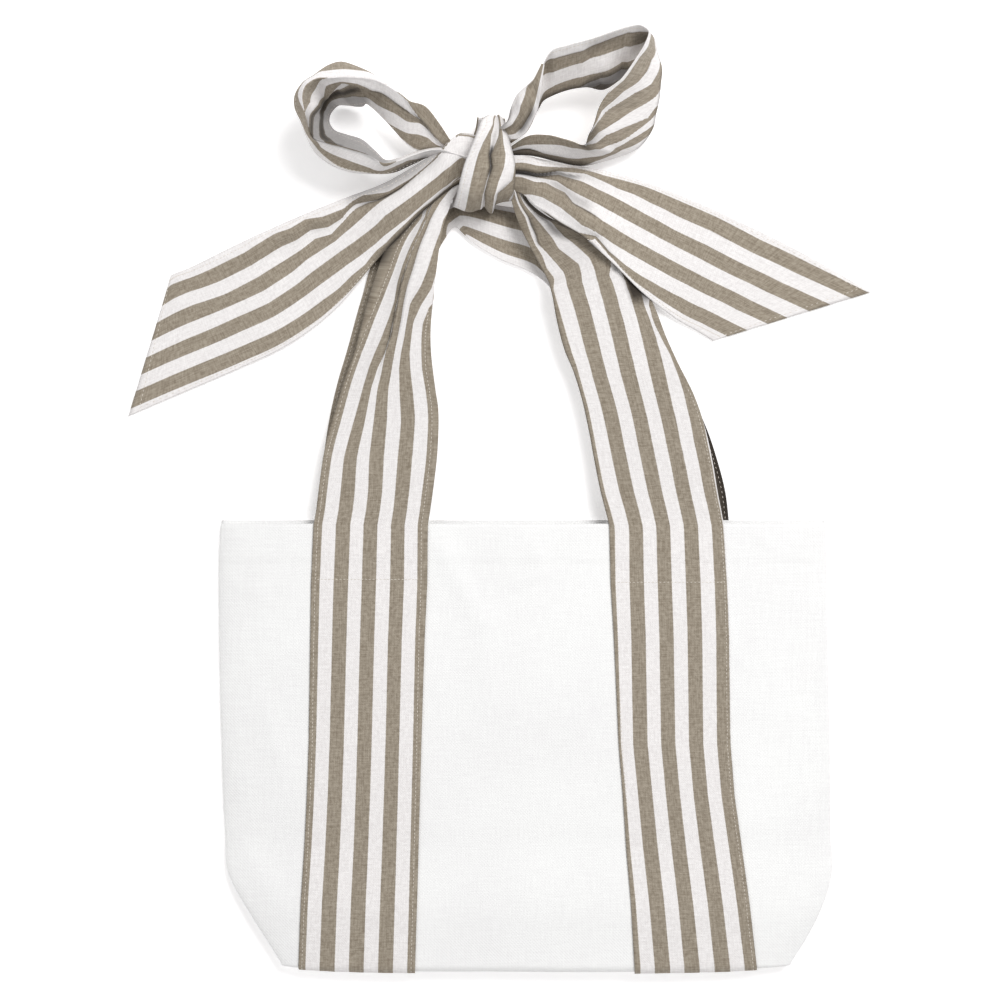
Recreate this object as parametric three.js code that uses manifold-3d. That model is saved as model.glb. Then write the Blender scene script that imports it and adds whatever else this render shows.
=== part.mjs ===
// Canvas shopping bag with striped cloth handles tied in a bow, lying on its back.
// Millimetres, +Z up off the surface, +Y from the bag towards the bow, origin under the body's middle.
import * as THREE from "three";
import { mergeVertices } from "three/addons/utils/BufferGeometryUtils.js";
import Module from "manifold-3d";

const wasm = await Module();
wasm.setup();

// Driving dimensions
const CLOTH_WIDTH = 80;
const CLOTH_THICK = 1.2;
const CANVAS_THICK = 1.2;
const PIECE_GAP = 0.35;
const STEEPEST = 1.75;
const MOST_GAIN = 3;
const MOUTH_Y = 153.5;
const FOOT_Y = -148;
const GUSSET_Y = -100;
const SEAM_Z = 2.3;
const FOOT_SEAM_Z = 8.4;
const FOOT_LOW_Z = 6.4;
const FOLD_TURN = 14;
const BACK_MOUTH_Y = 155.8;
const BACK_FOLD_TURN = 4;
const BACK_FOLD_RISE = 2.4;
const BAND_RAMP = 8;
const DOME = 13.5;
const FOOT_DOME = 7.5;
const LOWEST = CLOTH_THICK / 2;
const BAND_LIFT = CANVAS_THICK / 2 + CLOTH_THICK / 2 + PIECE_GAP + 0.3;

const CLOTH_COLOUR = 0xa79f90;
const CANVAS_COLOUR = 0xf3f1f2;

const clamp = (t) => Math.min(Math.max(t, 0), 1);
const ease = (t) => clamp(t) ** 2 * (3 - 2 * clamp(t));

// Value of a table's column at x, straight between its rows
function lookUp(rows, x, column) {
  const last = rows.length - 1;
  if (x <= rows[0][0]) {
    return rows[0][column];
  }
  for (let i = 1; i <= last; i++) {
    if (x <= rows[i][0]) {
      const t = (x - rows[i - 1][0]) / (rows[i][0] - rows[i - 1][0]);
      return rows[i - 1][column] * (1 - t) + rows[i][column] * t;
    }
  }
  return rows[last][column];
}

// Outline of the body: y, left x, right x
const BODY_OUTLINE = [
  [-155, -163, 178],
  [-148, -167, 182],
  [-132, -177, 192],
  [-113, -189, 202],
  [-87, -203.5, 210.5],
  [-60, -206, 210],
  [0, -208.5, 209.5],
  [66, -210, 208],
  [128, -210.3, 207],
  [160, -209, 206.3],
];

// Front panel's height over the surface at a point of its plan
function frontHeight(x, y) {
  const left = lookUp(BODY_OUTLINE, y, 1);
  const right = lookUp(BODY_OUTLINE, y, 2);
  const across = THREE.MathUtils.clamp((2 * x - left - right) / (right - left), -1, 1);
  const foot = ease((-60 - y) / 60);
  const seam = SEAM_Z + (FOOT_SEAM_Z - SEAM_Z) * foot;
  const rise = DOME + (FOOT_DOME - DOME) * ease((-50 - y) / 100);
  return seam + rise * (1 - across ** 4) ** 0.6;
}

// Point of the front panel a distance along its path: mouth, foot fold, tucked gusset
function frontPoint(x, along) {
  const straight = MOUTH_Y - FOOT_Y;
  if (along <= straight) {
    const y = MOUTH_Y - along;
    return new THREE.Vector3(x, y, frontHeight(x, y));
  }
  const top = frontHeight(x, FOOT_Y);
  const radius = (top - FOOT_LOW_Z) / 2;
  const turned = (along - straight) / FOLD_TURN;
  if (turned <= 1) {
    const angle = turned * Math.PI;
    const y = FOOT_Y - radius * Math.sin(angle);
    return new THREE.Vector3(x, y, top - radius + radius * Math.cos(angle));
  }
  const inward = along - straight - FOLD_TURN;
  return new THREE.Vector3(x, FOOT_Y + inward, FOOT_LOW_Z + inward * 0.01);
}

// Closed sheet: a grid of middle points, thickened along its normals
function sheet(middle, across, along, thickness) {
  const grid = [];
  for (let i = 0; i <= along; i++) {
    grid.push([]);
    for (let j = 0; j <= across; j++) {
      grid[i].push(middle(j / across, i / along));
    }
  }
  const normals = grid.map((row, i) =>
    row.map((point, j) => {
      const before = grid[Math.max(i - 1, 0)][j];
      const after = grid[Math.min(i + 1, along)][j];
      const left = row[Math.max(j - 1, 0)];
      const right = row[Math.min(j + 1, across)];
      const sideways = right.clone().sub(left);
      return sideways.cross(after.clone().sub(before)).normalize();
    }),
  );
  const box = new THREE.BoxGeometry(1, 1, 1, across, 1, along);
  box.deleteAttribute("normal");
  box.deleteAttribute("uv");
  const merged = mergeVertices(box);
  const place = merged.getAttribute("position");
  for (let k = 0; k < place.count; k++) {
    const i = Math.round((0.5 - place.getZ(k)) * along);
    const j = Math.round((place.getX(k) + 0.5) * across);
    const side = place.getY(k) > 0 ? 0.5 : -0.5;
    const point = grid[i][j].clone().addScaledVector(normals[i][j], side * thickness);
    place.setXYZ(k, point.x, point.y, point.z);
  }
  return merged;
}

// three.js geometry as a solid that can be joined
function solid(geometry) {
  return new wasm.Manifold(
    new wasm.Mesh({
      numProp: 3,
      vertProperties: new Float32Array(geometry.getAttribute("position").array),
      triVerts: new Uint32Array(geometry.index.array),
    }),
  );
}

// Smooth curve through one column of a table of sections
function smooth(knots, values, u) {
  const last = knots.length - 1;
  let i = 0;
  while (i < last - 1 && u > knots[i + 1]) {
    i++;
  }
  const slope = (k) => (values[k + 1] - values[k]) / (knots[k + 1] - knots[k]);
  const tangent = (k) => {
    if (k === 0) {
      return slope(0);
    }
    if (k === last) {
      return slope(last - 1);
    }
    const behind = knots[k] - knots[k - 1];
    const ahead = knots[k + 1] - knots[k];
    return (slope(k - 1) * ahead + slope(k) * behind) / (behind + ahead);
  };
  const step = knots[i + 1] - knots[i];
  const t = (u - knots[i]) / step;
  return (
    (2 * t ** 3 - 3 * t ** 2 + 1) * values[i] +
    (t ** 3 - 2 * t ** 2 + t) * tangent(i) * step +
    (3 * t ** 2 - 2 * t ** 3) * values[i + 1] +
    (t ** 3 - t ** 2) * tangent(i + 1) * step
  );
}

// How far a fold or tuck holds at a distance along its ribbon
function held(row, u) {
  const ramp = row.ramp ?? 40;
  const from = row.from ?? -1000;
  const to = row.to ?? 3000;
  return ease((u - from) / ramp + 1) * ease((to - u) / ramp + 1);
}

// Cross-section of cloth laid over a shorter chord: its slack goes into the folds
function crossSection(from, to, chord, folds, u, count) {
  const fine = count * 8;
  const length = to - from;
  const angles = [];
  for (let k = 0; k < fine; k++) {
    const q = from + ((k + 0.5) / fine) * length;
    let angle = 0;
    for (const fold of folds) {
      const d = (q - fold.at) / fold.wide;
      angle -= fold.up * held(fold, u) * d * Math.exp(0.5 - (d * d) / 2);
    }
    angles.push(angle);
  }
  const steepest = Math.max(...angles.map(Math.abs), 1e-6);
  const reach = (gain) => {
    let p = 0;
    let h = 0;
    for (const angle of angles) {
      p += Math.cos(gain * angle);
      h += Math.sin(gain * angle);
    }
    return Math.hypot(p, h) / fine;
  };
  let low = 0;
  let high = Math.min(STEEPEST / steepest, MOST_GAIN);
  if (steepest < 0.01 || chord >= length) {
    high = 0;
  } else if (reach(high) < chord / length) {
    for (let k = 0; k < 30; k++) {
      const gain = (low + high) / 2;
      if (reach(gain) > chord / length) {
        low = gain;
      } else {
        high = gain;
      }
    }
  }
  const path = [[0, 0]];
  for (const angle of angles) {
    const [p, h] = path[path.length - 1];
    path.push([p + Math.cos(high * angle), h + Math.sin(high * angle)]);
  }
  const [endP, endH] = path[fine];
  const turn = Math.atan2(endH, endP);
  const scale = chord / Math.hypot(endP, endH);
  const points = [];
  for (let j = 0; j <= count; j++) {
    const [p, h] = path[j * 8];
    points.push([
      (p * Math.cos(turn) + h * Math.sin(turn)) * (scale / chord),
      (h * Math.cos(turn) - p * Math.sin(turn)) * scale,
    ]);
  }
  return points;
}

// Ribbon of cloth: a row for each section gives the two outline points, folds take up the slack
function ribbon({ rows, band, folds = [], tucks = [], from = 0, to = CLOTH_WIDTH, ...shape }) {
  const { press = 1, across = 10, steps = 2 } = shape;
  const centres = rows.map(
    (r) => new THREE.Vector3((r[0] + r[3]) / 2, (r[1] + r[4]) / 2, (r[2] + r[5]) / 2),
  );
  const knots = [0];
  for (let i = 1; i < rows.length; i++) {
    knots.push(knots[i - 1] + centres[i].distanceTo(centres[i - 1]));
  }
  const column = (k) => rows.map((r) => r[k]);
  const edge = (u, first) =>
    new THREE.Vector3(
      smooth(knots, column(first), u),
      smooth(knots, column(first + 1), u),
      smooth(knots, column(first + 2), u),
    );
  const stops = [];
  for (let gap = 0; gap < rows.length - 1; gap++) {
    for (let k = 0; k < steps; k++) {
      stops.push(knots[gap] + (k / steps) * (knots[gap + 1] - knots[gap]));
    }
  }
  stops.push(knots[rows.length - 1]);
  const sections = band ? bandOn(band, across) : [];
  for (const u of stops) {
    const left = edge(u, 0);
    const right = edge(u, 3);
    const middle = (at) => edge(at, 0).add(edge(at, 3)).multiplyScalar(0.5);
    const end = knots[knots.length - 1];
    const heading = middle(Math.min(u + 1, end)).sub(middle(Math.max(u - 1, 0))).normalize();
    const chord = right.clone().sub(left);
    const square = chord.clone().addScaledVector(heading, -chord.dot(heading)).length();
    const normal = chord.clone().cross(heading).normalize();
    const hidden = { left: 0, right: 0 };
    for (const tuck of tucks) {
      hidden[tuck.side] += tuck.wide * held(tuck, u);
    }
    const points = crossSection(from + hidden.left, to - hidden.right, square, folds, u, across);
    sections.push(
      points.map(([p, h]) => {
        const point = left.clone().addScaledVector(chord, p).addScaledVector(normal, h * press);
        point.z = Math.max(point.z, LOWEST);
        return point;
      }),
    );
  }
  const along = sections.length - 1;
  const middle = (v, w) => sections[Math.round(w * along)][Math.round(v * across)];
  return solid(sheet(middle, across, along, CLOTH_THICK));
}

// Distances from the mouth at which the front panel and its bands are drawn
const FRONT_STOPS = [0, 18, 60, 110, 160, 200, 225, 245, 262, 276, 289, 301.5, 303.8, 306.2, 308.5];
const FOLD_STOPS = [310.8, 313.2, 315.5, 331.5, 347.5, 363.5];

// Bands' sides on the front panel: distance from the mouth, left x, right x
const LEFT_BAND_SIDES = [
  [0, -144.5, -66.5],
  [40, -145, -67],
  [136, -146, -70.5],
  [202, -147.5, -72.5],
  [272, -151, -74],
  [308.5, -151.5, -75],
];
const RIGHT_BAND_SIDES = [
  [0, 59, 136.5],
  [40, 60.5, 138.5],
  [136, 63.5, 139.5],
  [202, 68, 144.5],
  [245, 71.5, 150.5],
  [308.5, 75.5, 160],
];

// Sections of a band lying on the front panel, foot fold to mouth
function bandOn(sides, across) {
  return [...FRONT_STOPS].reverse().map((stop) => {
    const points = [];
    for (let j = 0; j <= across; j++) {
      const x = THREE.MathUtils.lerp(lookUp(sides, stop, 1), lookUp(sides, stop, 2), j / across);
      const before = frontPoint(x, Math.max(stop - 0.5, 0));
      const after = frontPoint(x, stop + 0.5);
      const slope = frontPoint(x + 0.5, stop).sub(frontPoint(x - 0.5, stop));
      const normal = slope.cross(before.sub(after)).normalize();
      points.push(frontPoint(x, stop).addScaledVector(normal, BAND_LIFT));
    }
    return points;
  });
}

// Ribbon sections beyond the bag: left outline x, y, z, right outline x, y, z
const LEFT_STRAP = [
  [-144, 163, 15.9, -66.5, 163, 17.4],
  [-141.5, 180, 15, -63, 180, 16],
  [-137.5, 203.5, 12.5, -60, 203.5, 14],
  [-131.5, 227.5, 11, -59.5, 231.5, 12],
  [-125, 249.5, 11, -61.5, 245.5, 12],
  [-116.5, 273.5, 11.5, -64.5, 271.5, 12],
  [-110, 299, 11, -64.5, 291, 13],
  [-102, 325, 10.5, -61.5, 321, 14],
  [-92.5, 348, 10.5, -57.5, 350.5, 15],
  [-77, 370, 11, -53, 366, 15],
  [-60, 390, 12, -47.5, 379, 14],
  [-38, 407, 13, -30, 396, 13],
];
const RIGHT_STRAP = [
  [57, 163, 17.5, 135, 163, 16],
  [53.5, 174, 17, 132.5, 174, 15.2],
  [49, 195, 16, 129, 195, 14],
  [45, 218, 15, 124.5, 219.5, 12.5],
  [40, 240, 14.5, 117.5, 242.5, 11.5],
  [34, 258, 14.5, 108.5, 262, 11],
  [27, 273, 15, 98.5, 281, 8],
  [21.5, 292.5, 16.5, 90, 300, 5.5],
  [18.5, 309, 19, 80, 321, 5],
  [17, 315, 19.5, 70, 333, 5],
  [16, 319, 14, 60, 342, 6],
  [3.5, 342.5, 12.5, 40, 353, 9],
  [-5, 360, 15, 13.5, 364.5, 14],
  [-9, 372.5, 16, 2, 374, 16],
  [-11, 384, 16, -3, 385, 16],
];
const LEFT_TAIL = [
  [-30, 390, 13, -27, 416, 13],
  [-45.5, 385.5, 15, -41.5, 421, 16],
  [-65, 371, 16, -60, 407.5, 18],
  [-83.5, 352.5, 14, -96.5, 386.5, 14],
  [-103, 333, 8.5, -124.5, 376.5, 9],
  [-127.5, 304, 4.5, -155.5, 364.5, 5.5],
  [-161.5, 277.5, 3, -194.5, 347.5, 3.5],
  [-196.5, 260.5, 2, -229.5, 330.5, 2.5],
  [-236, 243.5, 1.5, -243, 325, 2],
  [-273.5, 227.5, 0.8, -244.5, 322.5, 0.8],
];
const RIGHT_TAIL = [
  [-11, 404, 15, -10, 381, 16],
  [-3, 405.5, 14, -3, 379, 18],
  [10, 403.5, 11, 6.5, 371, 18],
  [35, 399.5, 7.5, 21.5, 360, 18],
  [61.5, 394.5, 5.5, 40.5, 348.5, 16],
  [84.5, 388, 4.5, 60, 332, 12.5],
  [106.5, 379.5, 3.5, 78.5, 314, 8],
  [134.5, 367.5, 2.5, 101, 296.5, 3],
  [190, 340.5, 1.5, 118, 286.5, 1.5],
  [238.5, 313, 0.8, 129.5, 279.5, 0.8],
];
const LEFT_LOOP = [
  [-37.5, 403, 20, -38, 407, 12],
  [-61.5, 408, 23, -61.5, 410.5, 13],
  [-76, 404, 27, -75.5, 407.5, 14],
  [-87.5, 399, 31, -86.5, 403.5, 14],
  [-96.5, 397.5, 34, -95.5, 402, 14],
  [-107, 403, 37, -103.5, 409, 13],
  [-120.5, 407, 40, -112.5, 417, 10],
  [-133, 410, 43, -122.5, 420.5, 6],
  [-143.5, 413.5, 46, -131.5, 424, 4],
  [-146.5, 423.5, 48, -135, 429.5, 3],
  [-148.5, 432, 50, -134.5, 434.5, 3],
  [-149.5, 440.5, 51, -132, 438.5, 3],
  [-147.5, 446.5, 51, -128.5, 441.5, 3],
  [-141, 451.5, 50, -122, 441.5, 3],
  [-131.5, 452.5, 49, -116, 440.5, 4],
  [-122, 453.5, 47, -111.5, 440.5, 6],
  [-111.5, 453.5, 44, -109, 442, 9],
  [-102, 452.5, 41, -103.5, 437.5, 13],
  [-94, 449.5, 37, -96.5, 430, 16],
  [-85.5, 445, 33, -89.5, 422.5, 15],
  [-78, 440, 30, -81.5, 414, 13],
  [-68, 437, 27, -73.5, 409, 12],
  [-58, 425.5, 22, -65.5, 408.5, 11],
  [-50.5, 415, 17, -58, 409.5, 10],
  [-36, 408, 14, -36, 402.5, 9],
];
const LEFT_LOOP_OUTER = [
  [-38, 399, 14, -37.5, 403, 20],
  [-61.5, 405.5, 16, -61.5, 408, 23],
  [-76.5, 399, 18, -76, 404, 27],
  [-91, 392.5, 21, -87.5, 399, 31],
  [-105.5, 391.5, 25, -96.5, 397.5, 34],
  [-119.5, 392.5, 27, -107, 403, 37],
  [-132, 397, 29, -120.5, 407, 40],
  [-142.5, 405, 32, -133, 410, 43],
  [-148, 415, 34, -143.5, 413.5, 46],
  [-151.5, 425, 36, -146.5, 423.5, 48],
  [-155.5, 434.5, 38, -148.5, 432, 50],
  [-155, 443, 40, -149.5, 440.5, 51],
  [-150, 450.5, 41, -147.5, 446.5, 51],
  [-143, 455.5, 39, -141, 451.5, 50],
  [-133.5, 463, 34, -131.5, 452.5, 49],
  [-125, 466, 32, -122, 453.5, 47],
  [-113, 462.5, 32, -111.5, 453.5, 44],
  [-102.5, 457.5, 32, -102, 452.5, 41],
  [-93.5, 451, 31, -94, 449.5, 37],
];
const RIGHT_LOOP = [
  [-12, 420.5, 22, -10, 414.5, 10],
  [-4.5, 438.5, 32, 1, 422, 12],
  [8.5, 455, 40, 9, 437.5, 15],
  [16, 470, 44, 13.5, 443, 18],
  [28.5, 475, 46, 28.5, 449, 20],
  [43, 478.5, 48, 42, 451, 21],
  [57.5, 483, 50, 53, 449.5, 20],
  [70, 486.5, 51, 65, 457.5, 15],
  [78, 486.5, 52, 79, 472, 20],
  [82.5, 482.5, 52, 86.5, 483, 30],
  [80, 474.5, 52, 89.5, 475, 22],
  [73, 463.5, 51, 93, 464.5, 18],
  [65, 452.5, 49.5, 92.5, 454, 16],
  [56.5, 444, 47, 91.5, 443.5, 14],
  [50, 434.5, 44, 89.5, 434, 12],
  [47, 424.5, 41, 87.5, 424.5, 10],
  [43.5, 415.5, 38, 77.5, 411, 9],
  [39.5, 409, 35, 59.5, 403.5, 9],
  [30, 412.5, 31, 41.5, 399, 11],
  [14.5, 417, 28, 21.5, 401.5, 13],
  [1.5, 416.5, 26, 4, 405.5, 14],
  [-10, 410, 20, -10, 406, 12],
];
const RIGHT_CUFF = [
  [-16, 424, 24, -13, 415.5, 24],
  [-12, 426.5, 30, -6, 414.5, 28],
  [-9.5, 435, 36, -0.5, 417.5, 32],
  [-6, 442, 41, 4, 424, 37],
  [-0.5, 447, 45, 8, 432, 42],
  [4.5, 451, 48, 9.5, 441, 46],
  [8, 457, 49, 11, 451.5, 48],
  [10.5, 462, 49, 12.5, 461, 49],
];
const KNOT_OVER = [
  [-49, 382, 6, -9, 384, 6],
  [-50, 371.5, 9, -9, 375.5, 9],
  [-49, 371, 18, -9, 375, 17],
  [-46.5, 377.5, 28, -8, 377.5, 27],
  [-44, 387, 34, -7, 387, 32],
  [-41.5, 396, 35, -7, 396.5, 33],
  [-37.5, 407, 32, -9, 405.5, 31],
  [-32.5, 420, 27, -12, 417, 26],
  [-29.5, 429, 20, -14, 426.5, 20],
  [-25, 433, 13, -16.5, 431.5, 13],
  [-23, 433.5, 7, -18, 432.5, 7],
];
const KNOT_UNDER = [
  [-33, 432, 10, -14, 431, 10],
  [-34, 426, 3.5, -13, 426, 3.5],
  [-42, 405, 2, -11, 405, 2],
  [-45, 390, 3.5, -10, 390, 3.5],
  [-45, 379, 8, -11, 380, 8],
];
const BACK_HANDLE = [
  [-155, -149, 0.6, -76, -149, 0.6],
  [-152, -80, 0.6, -74, -80, 0.6],
  [-150, 0, 0.6, -73, 0, 0.6],
  [-147, 80, 0.6, -72, 80, 0.6],
  [-144, 153, 0.6, -71, 153, 0.6],
  [-140, 190, 0.6, -68, 190, 0.6],
  [-135, 225, 0.6, -66, 228, 0.6],
  [-130, 247.5, 0.8, -66, 250, 0.8],
  [-122, 275, 1, -66, 277, 1],
  [-114.5, 309, 1.4, -63, 309, 1.4],
  [-103, 342, 1.8, -62, 334.5, 1.8],
  [-84, 361.5, 2, -56, 348.5, 2.2],
  [-66, 371.5, 2, -48, 357.5, 2.2],
  [-45, 374.5, 2, -38, 348.5, 2.2],
  [-17, 372.5, 2, -17, 335.5, 2.2],
  [6, 367.5, 2, 2, 327.5, 2.2],
  [26, 357.5, 2, 14, 319.5, 2.2],
  [48, 339.5, 2, 24, 305.5, 2],
  [68, 318, 1.5, 30, 288, 1.5],
  [86, 294, 1.2, 38, 264, 1.2],
  [98, 278, 1, 44, 244, 1],
  [112, 246, 0.8, 48, 218, 0.8],
  [124, 222, 0.6, 54, 195, 0.6],
  [132, 199, 0.6, 59, 174, 0.6],
  [138, 176, 0.6, 62, 162, 0.6],
  [141, 150, 0.6, 63.5, 150, 0.6],
  [142, 80, 0.6, 64, 80, 0.6],
  [145, 0, 0.6, 67, 0, 0.6],
  [150, -80, 0.6, 72, -80, 0.6],
  [159, -149, 0.6, 78, -149, 0.6],
];

// Folds: where across the cloth, how wide, up (+) or down (-), and the stretch of ribbon they hold
const LEFT_STRAP_FOLDS = [
  { at: 29, wide: 7, up: -1, from: 95, ramp: 60 },
  { at: 52, wide: 6, up: -0.45, from: 120, ramp: 50 },
];
const RIGHT_STRAP_FOLDS = [
  { at: 12, wide: 6, up: 0.8, from: 175, ramp: 40 },
  { at: 34, wide: 6, up: -0.6, from: 195, ramp: 40 },
];
const LEFT_TAIL_FOLDS = [
  { at: 62, wide: 6, up: -1, to: 100, ramp: 60 },
  { at: 44, wide: 7, up: 0.5, to: 60, ramp: 60 },
];
const RIGHT_TAIL_FOLDS = [
  { at: 24, wide: 5, up: -1, to: 40 },
  { at: 41, wide: 6, up: 0.9, to: 55 },
];
const LEFT_LOOP_FOLDS = [
  { at: 44, wide: 6, up: 0.6, from: 90, to: 160, ramp: 20 },
  { at: 60, wide: 6, up: -0.5, from: 90, to: 160, ramp: 20 },
];
const RIGHT_LOOP_FOLDS = [
  { at: 14, wide: 6, up: -0.4, from: 20, to: 90, ramp: 20 },
  { at: 44, wide: 6, up: 0.4, from: 20, to: 200, ramp: 30 },
];
const KNOT_FOLDS = [
  { at: 26, wide: 5, up: -1 },
  { at: 42, wide: 6, up: 0.5 },
];

// Cloth turned out of sight at an outline
const LEFT_STRAP_TUCKS = [
  { side: "right", wide: 16.5, from: 166, ramp: 18 },
  { side: "left", wide: 7, from: 230, ramp: 40 },
];
const RIGHT_STRAP_TUCKS = [
  { side: "right", wide: 13, from: 165, ramp: 42 },
  { side: "right", wide: 20, from: 205, ramp: 30 },
  { side: "right", wide: 18, from: 232, ramp: 26 },
];
const LEFT_TAIL_TUCKS = [{ side: "left", wide: 22, to: 30, ramp: 60 }];
const RIGHT_TAIL_TUCKS = [{ side: "right", wide: 24, to: 45, ramp: 50 }];
const LEFT_LOOP_TUCKS = [
  { side: "left", wide: 40, to: 92, ramp: 26 },
  { side: "left", wide: 12, from: 146, to: 190, ramp: 14 },
  { side: "right", wide: 18, from: 160, ramp: 16 },
  { side: "right", wide: 14, from: 225, ramp: 16 },
];
const LEFT_OUTER_TUCKS = [{ side: "left", wide: 11, from: 194, ramp: 10 }];
const RIGHT_LOOP_TUCKS = [
  { side: "right", wide: 30, to: 70, ramp: 30 },
  { side: "right", wide: 40, from: 122, to: 140, ramp: 30 },
  { side: "left", wide: 30, from: 215, ramp: 30 },
  { side: "right", wide: 20, from: 235, ramp: 30 },
];
const RIGHT_CUFF_TUCKS = [{ side: "left", wide: 10, from: 42, ramp: 24 }];
const KNOT_TUCKS = [
  { side: "right", wide: 16, from: 60, ramp: 30 },
  { side: "left", wide: 16, from: 85, ramp: 30 },
];
const BACK_TUCKS = [
  { side: "left", wide: 36, from: 540, to: 690, ramp: 80 },
  { side: "right", wide: 4, from: 540, to: 690, ramp: 80 },
];

// Canvas front: dome, foot fold and its half of the gusset tucked in
function frontPanel() {
  const straight = MOUTH_Y - FOOT_Y;
  const inside = straight + FOLD_TURN;
  const depth = GUSSET_Y - FOOT_Y;
  const stops = [...FRONT_STOPS, ...FOLD_STOPS];
  const along = stops.length - 1;
  return sheet(
    (v, w) => {
      const distance = stops[Math.round(w * along)];
      const tucked = Math.max(0, distance - inside);
      const plan = distance <= straight ? MOUTH_Y - distance : FOOT_Y + tucked;
      const inset = (14 * tucked) / depth;
      const left = lookUp(BODY_OUTLINE, plan, 1) + inset;
      const right = lookUp(BODY_OUTLINE, plan, 2) - inset;
      const s = 2 * v - 1;
      const spread = Math.sign(s) * Math.sin((Math.abs(s) * Math.PI) / 2) ** 0.95;
      return frontPoint((left + right) / 2 + (spread * (right - left)) / 2, distance);
    },
    20,
    along,
    CANVAS_THICK,
  );
}

// Plan lines of the two bands under the back panel: y, left band's sides, right band's sides
const BACK_BANDS = [
  [-149, -155, -76, 78, 159],
  [0, -150.5, -73, 67, 146],
  [156, -149.5, -71, 63, 141.5],
];

// Canvas back: flat on the surface, raised over the bands, folded at the foot, gusset tucked in
function backPanel() {
  const straight = BACK_MOUTH_Y - FOOT_Y;
  const inside = straight + BACK_FOLD_TURN;
  const depth = GUSSET_Y - FOOT_Y;
  const stops = [0, 50, 110, 160, 205, 243, 265, 285, straight];
  stops.push(straight + 1.3, straight + 2.7, inside, inside + depth / 2, inside + depth);
  const along = stops.length - 1;
  const columns = 18;
  const flat = CANVAS_THICK / 2;
  const raised = flat + CLOTH_THICK + PIECE_GAP;
  return sheet(
    (v, w) => {
      const distance = stops[Math.round(w * along)];
      const tucked = Math.max(0, distance - inside);
      const y = distance <= straight ? BACK_MOUTH_Y - distance : FOOT_Y + tucked;
      const inset = (14 * tucked) / depth;
      const left = lookUp(BODY_OUTLINE, y, 1) + inset;
      const right = lookUp(BODY_OUTLINE, y, 2) - inset;
      const [a, b, c, d] = [1, 2, 3, 4].map((k) => lookUp(BACK_BANDS, y, k));
      const ramp = BAND_RAMP;
      const spots = [
        [left, flat],
        [Math.min((left + a - ramp) / 2, a - ramp - 1), flat],
        [Math.max(a - 1 - ramp, left + 1), flat],
        [a - 1, raised],
        [(2 * a + b) / 3, raised],
        [(a + 2 * b) / 3, raised],
        [b + 1, raised],
        [b + 1 + ramp, flat],
        [(b + c) / 2 - 22, flat],
        [(b + c) / 2 + 22, flat],
        [c - 1 - ramp, flat],
        [c - 1, raised],
        [(2 * c + d) / 3, raised],
        [(c + 2 * d) / 3, raised],
        [d + 1, raised],
        [Math.min(d + 1 + ramp, right - 2), flat],
        [Math.max((right + d + 1 + ramp) / 2, d + 2 + ramp), flat],
        [right, flat],
      ];
      const [x, z] = spots[Math.round(v * (columns - 1))];
      if (distance <= straight) {
        return new THREE.Vector3(x, y, z);
      }
      const turned = Math.min((distance - straight) / BACK_FOLD_TURN, 1) * Math.PI;
      const radius = BACK_FOLD_RISE / 2;
      return new THREE.Vector3(x, y - radius * Math.sin(turned), z + radius - radius * Math.cos(turned));
    },
    columns - 1,
    along,
    CANVAS_THICK,
  );
}

// Gathered cloth inside the knot
function gathered(centre, radii) {
  const ball = new THREE.SphereGeometry(1, 16, 10);
  ball.deleteAttribute("normal");
  ball.deleteAttribute("uv");
  ball.scale(...radii);
  ball.translate(...centre);
  return solid(mergeVertices(ball, 1e-4));
}

const leftTie = [
  ribbon({
    rows: LEFT_STRAP,
    band: LEFT_BAND_SIDES,
    folds: LEFT_STRAP_FOLDS,
    tucks: LEFT_STRAP_TUCKS,
    press: 0.6,
  }),
  ribbon({ rows: LEFT_TAIL, folds: LEFT_TAIL_FOLDS, tucks: LEFT_TAIL_TUCKS, press: 0.7 }),
  ribbon({
    rows: LEFT_LOOP,
    folds: LEFT_LOOP_FOLDS,
    tucks: LEFT_LOOP_TUCKS,
    from: 20,
    press: 0.6,
    across: 8,
    steps: 1,
  }),
  ribbon({ rows: LEFT_LOOP_OUTER, tucks: LEFT_OUTER_TUCKS, to: 20, across: 3, steps: 1 }),
  gathered([-33, 402, 13], [12, 17, 8]),
];
const rightTie = [
  ribbon({
    rows: RIGHT_STRAP,
    band: RIGHT_BAND_SIDES,
    folds: RIGHT_STRAP_FOLDS,
    tucks: RIGHT_STRAP_TUCKS,
    press: 0.7,
  }),
  ribbon({ rows: RIGHT_TAIL, folds: RIGHT_TAIL_FOLDS, tucks: RIGHT_TAIL_TUCKS, press: 0.7 }),
  ribbon({
    rows: RIGHT_LOOP,
    folds: RIGHT_LOOP_FOLDS,
    tucks: RIGHT_LOOP_TUCKS,
    press: 0.6,
    across: 8,
    steps: 1,
  }),
  ribbon({ rows: RIGHT_CUFF, tucks: RIGHT_CUFF_TUCKS, to: 22, across: 4 }),
  ribbon({
    rows: KNOT_OVER,
    folds: KNOT_FOLDS,
    tucks: KNOT_TUCKS,
    from: 4,
    to: 62,
    press: 0.7,
  }),
  ribbon({ rows: KNOT_UNDER, across: 6 }),
  gathered([-8, 398, 15], [6, 22, 9]),
];
const backHandle = ribbon({
  rows: BACK_HANDLE,
  tucks: BACK_TUCKS,
  press: 0.25,
  across: 8,
});

const group = new THREE.Group();

function addPiece(name, geometry, colour, roughness) {
  const material = new THREE.MeshStandardMaterial({ color: colour, roughness, metalness: 0 });
  const mesh = new THREE.Mesh(geometry, material);
  mesh.name = name;
  group.add(mesh);
}

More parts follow.
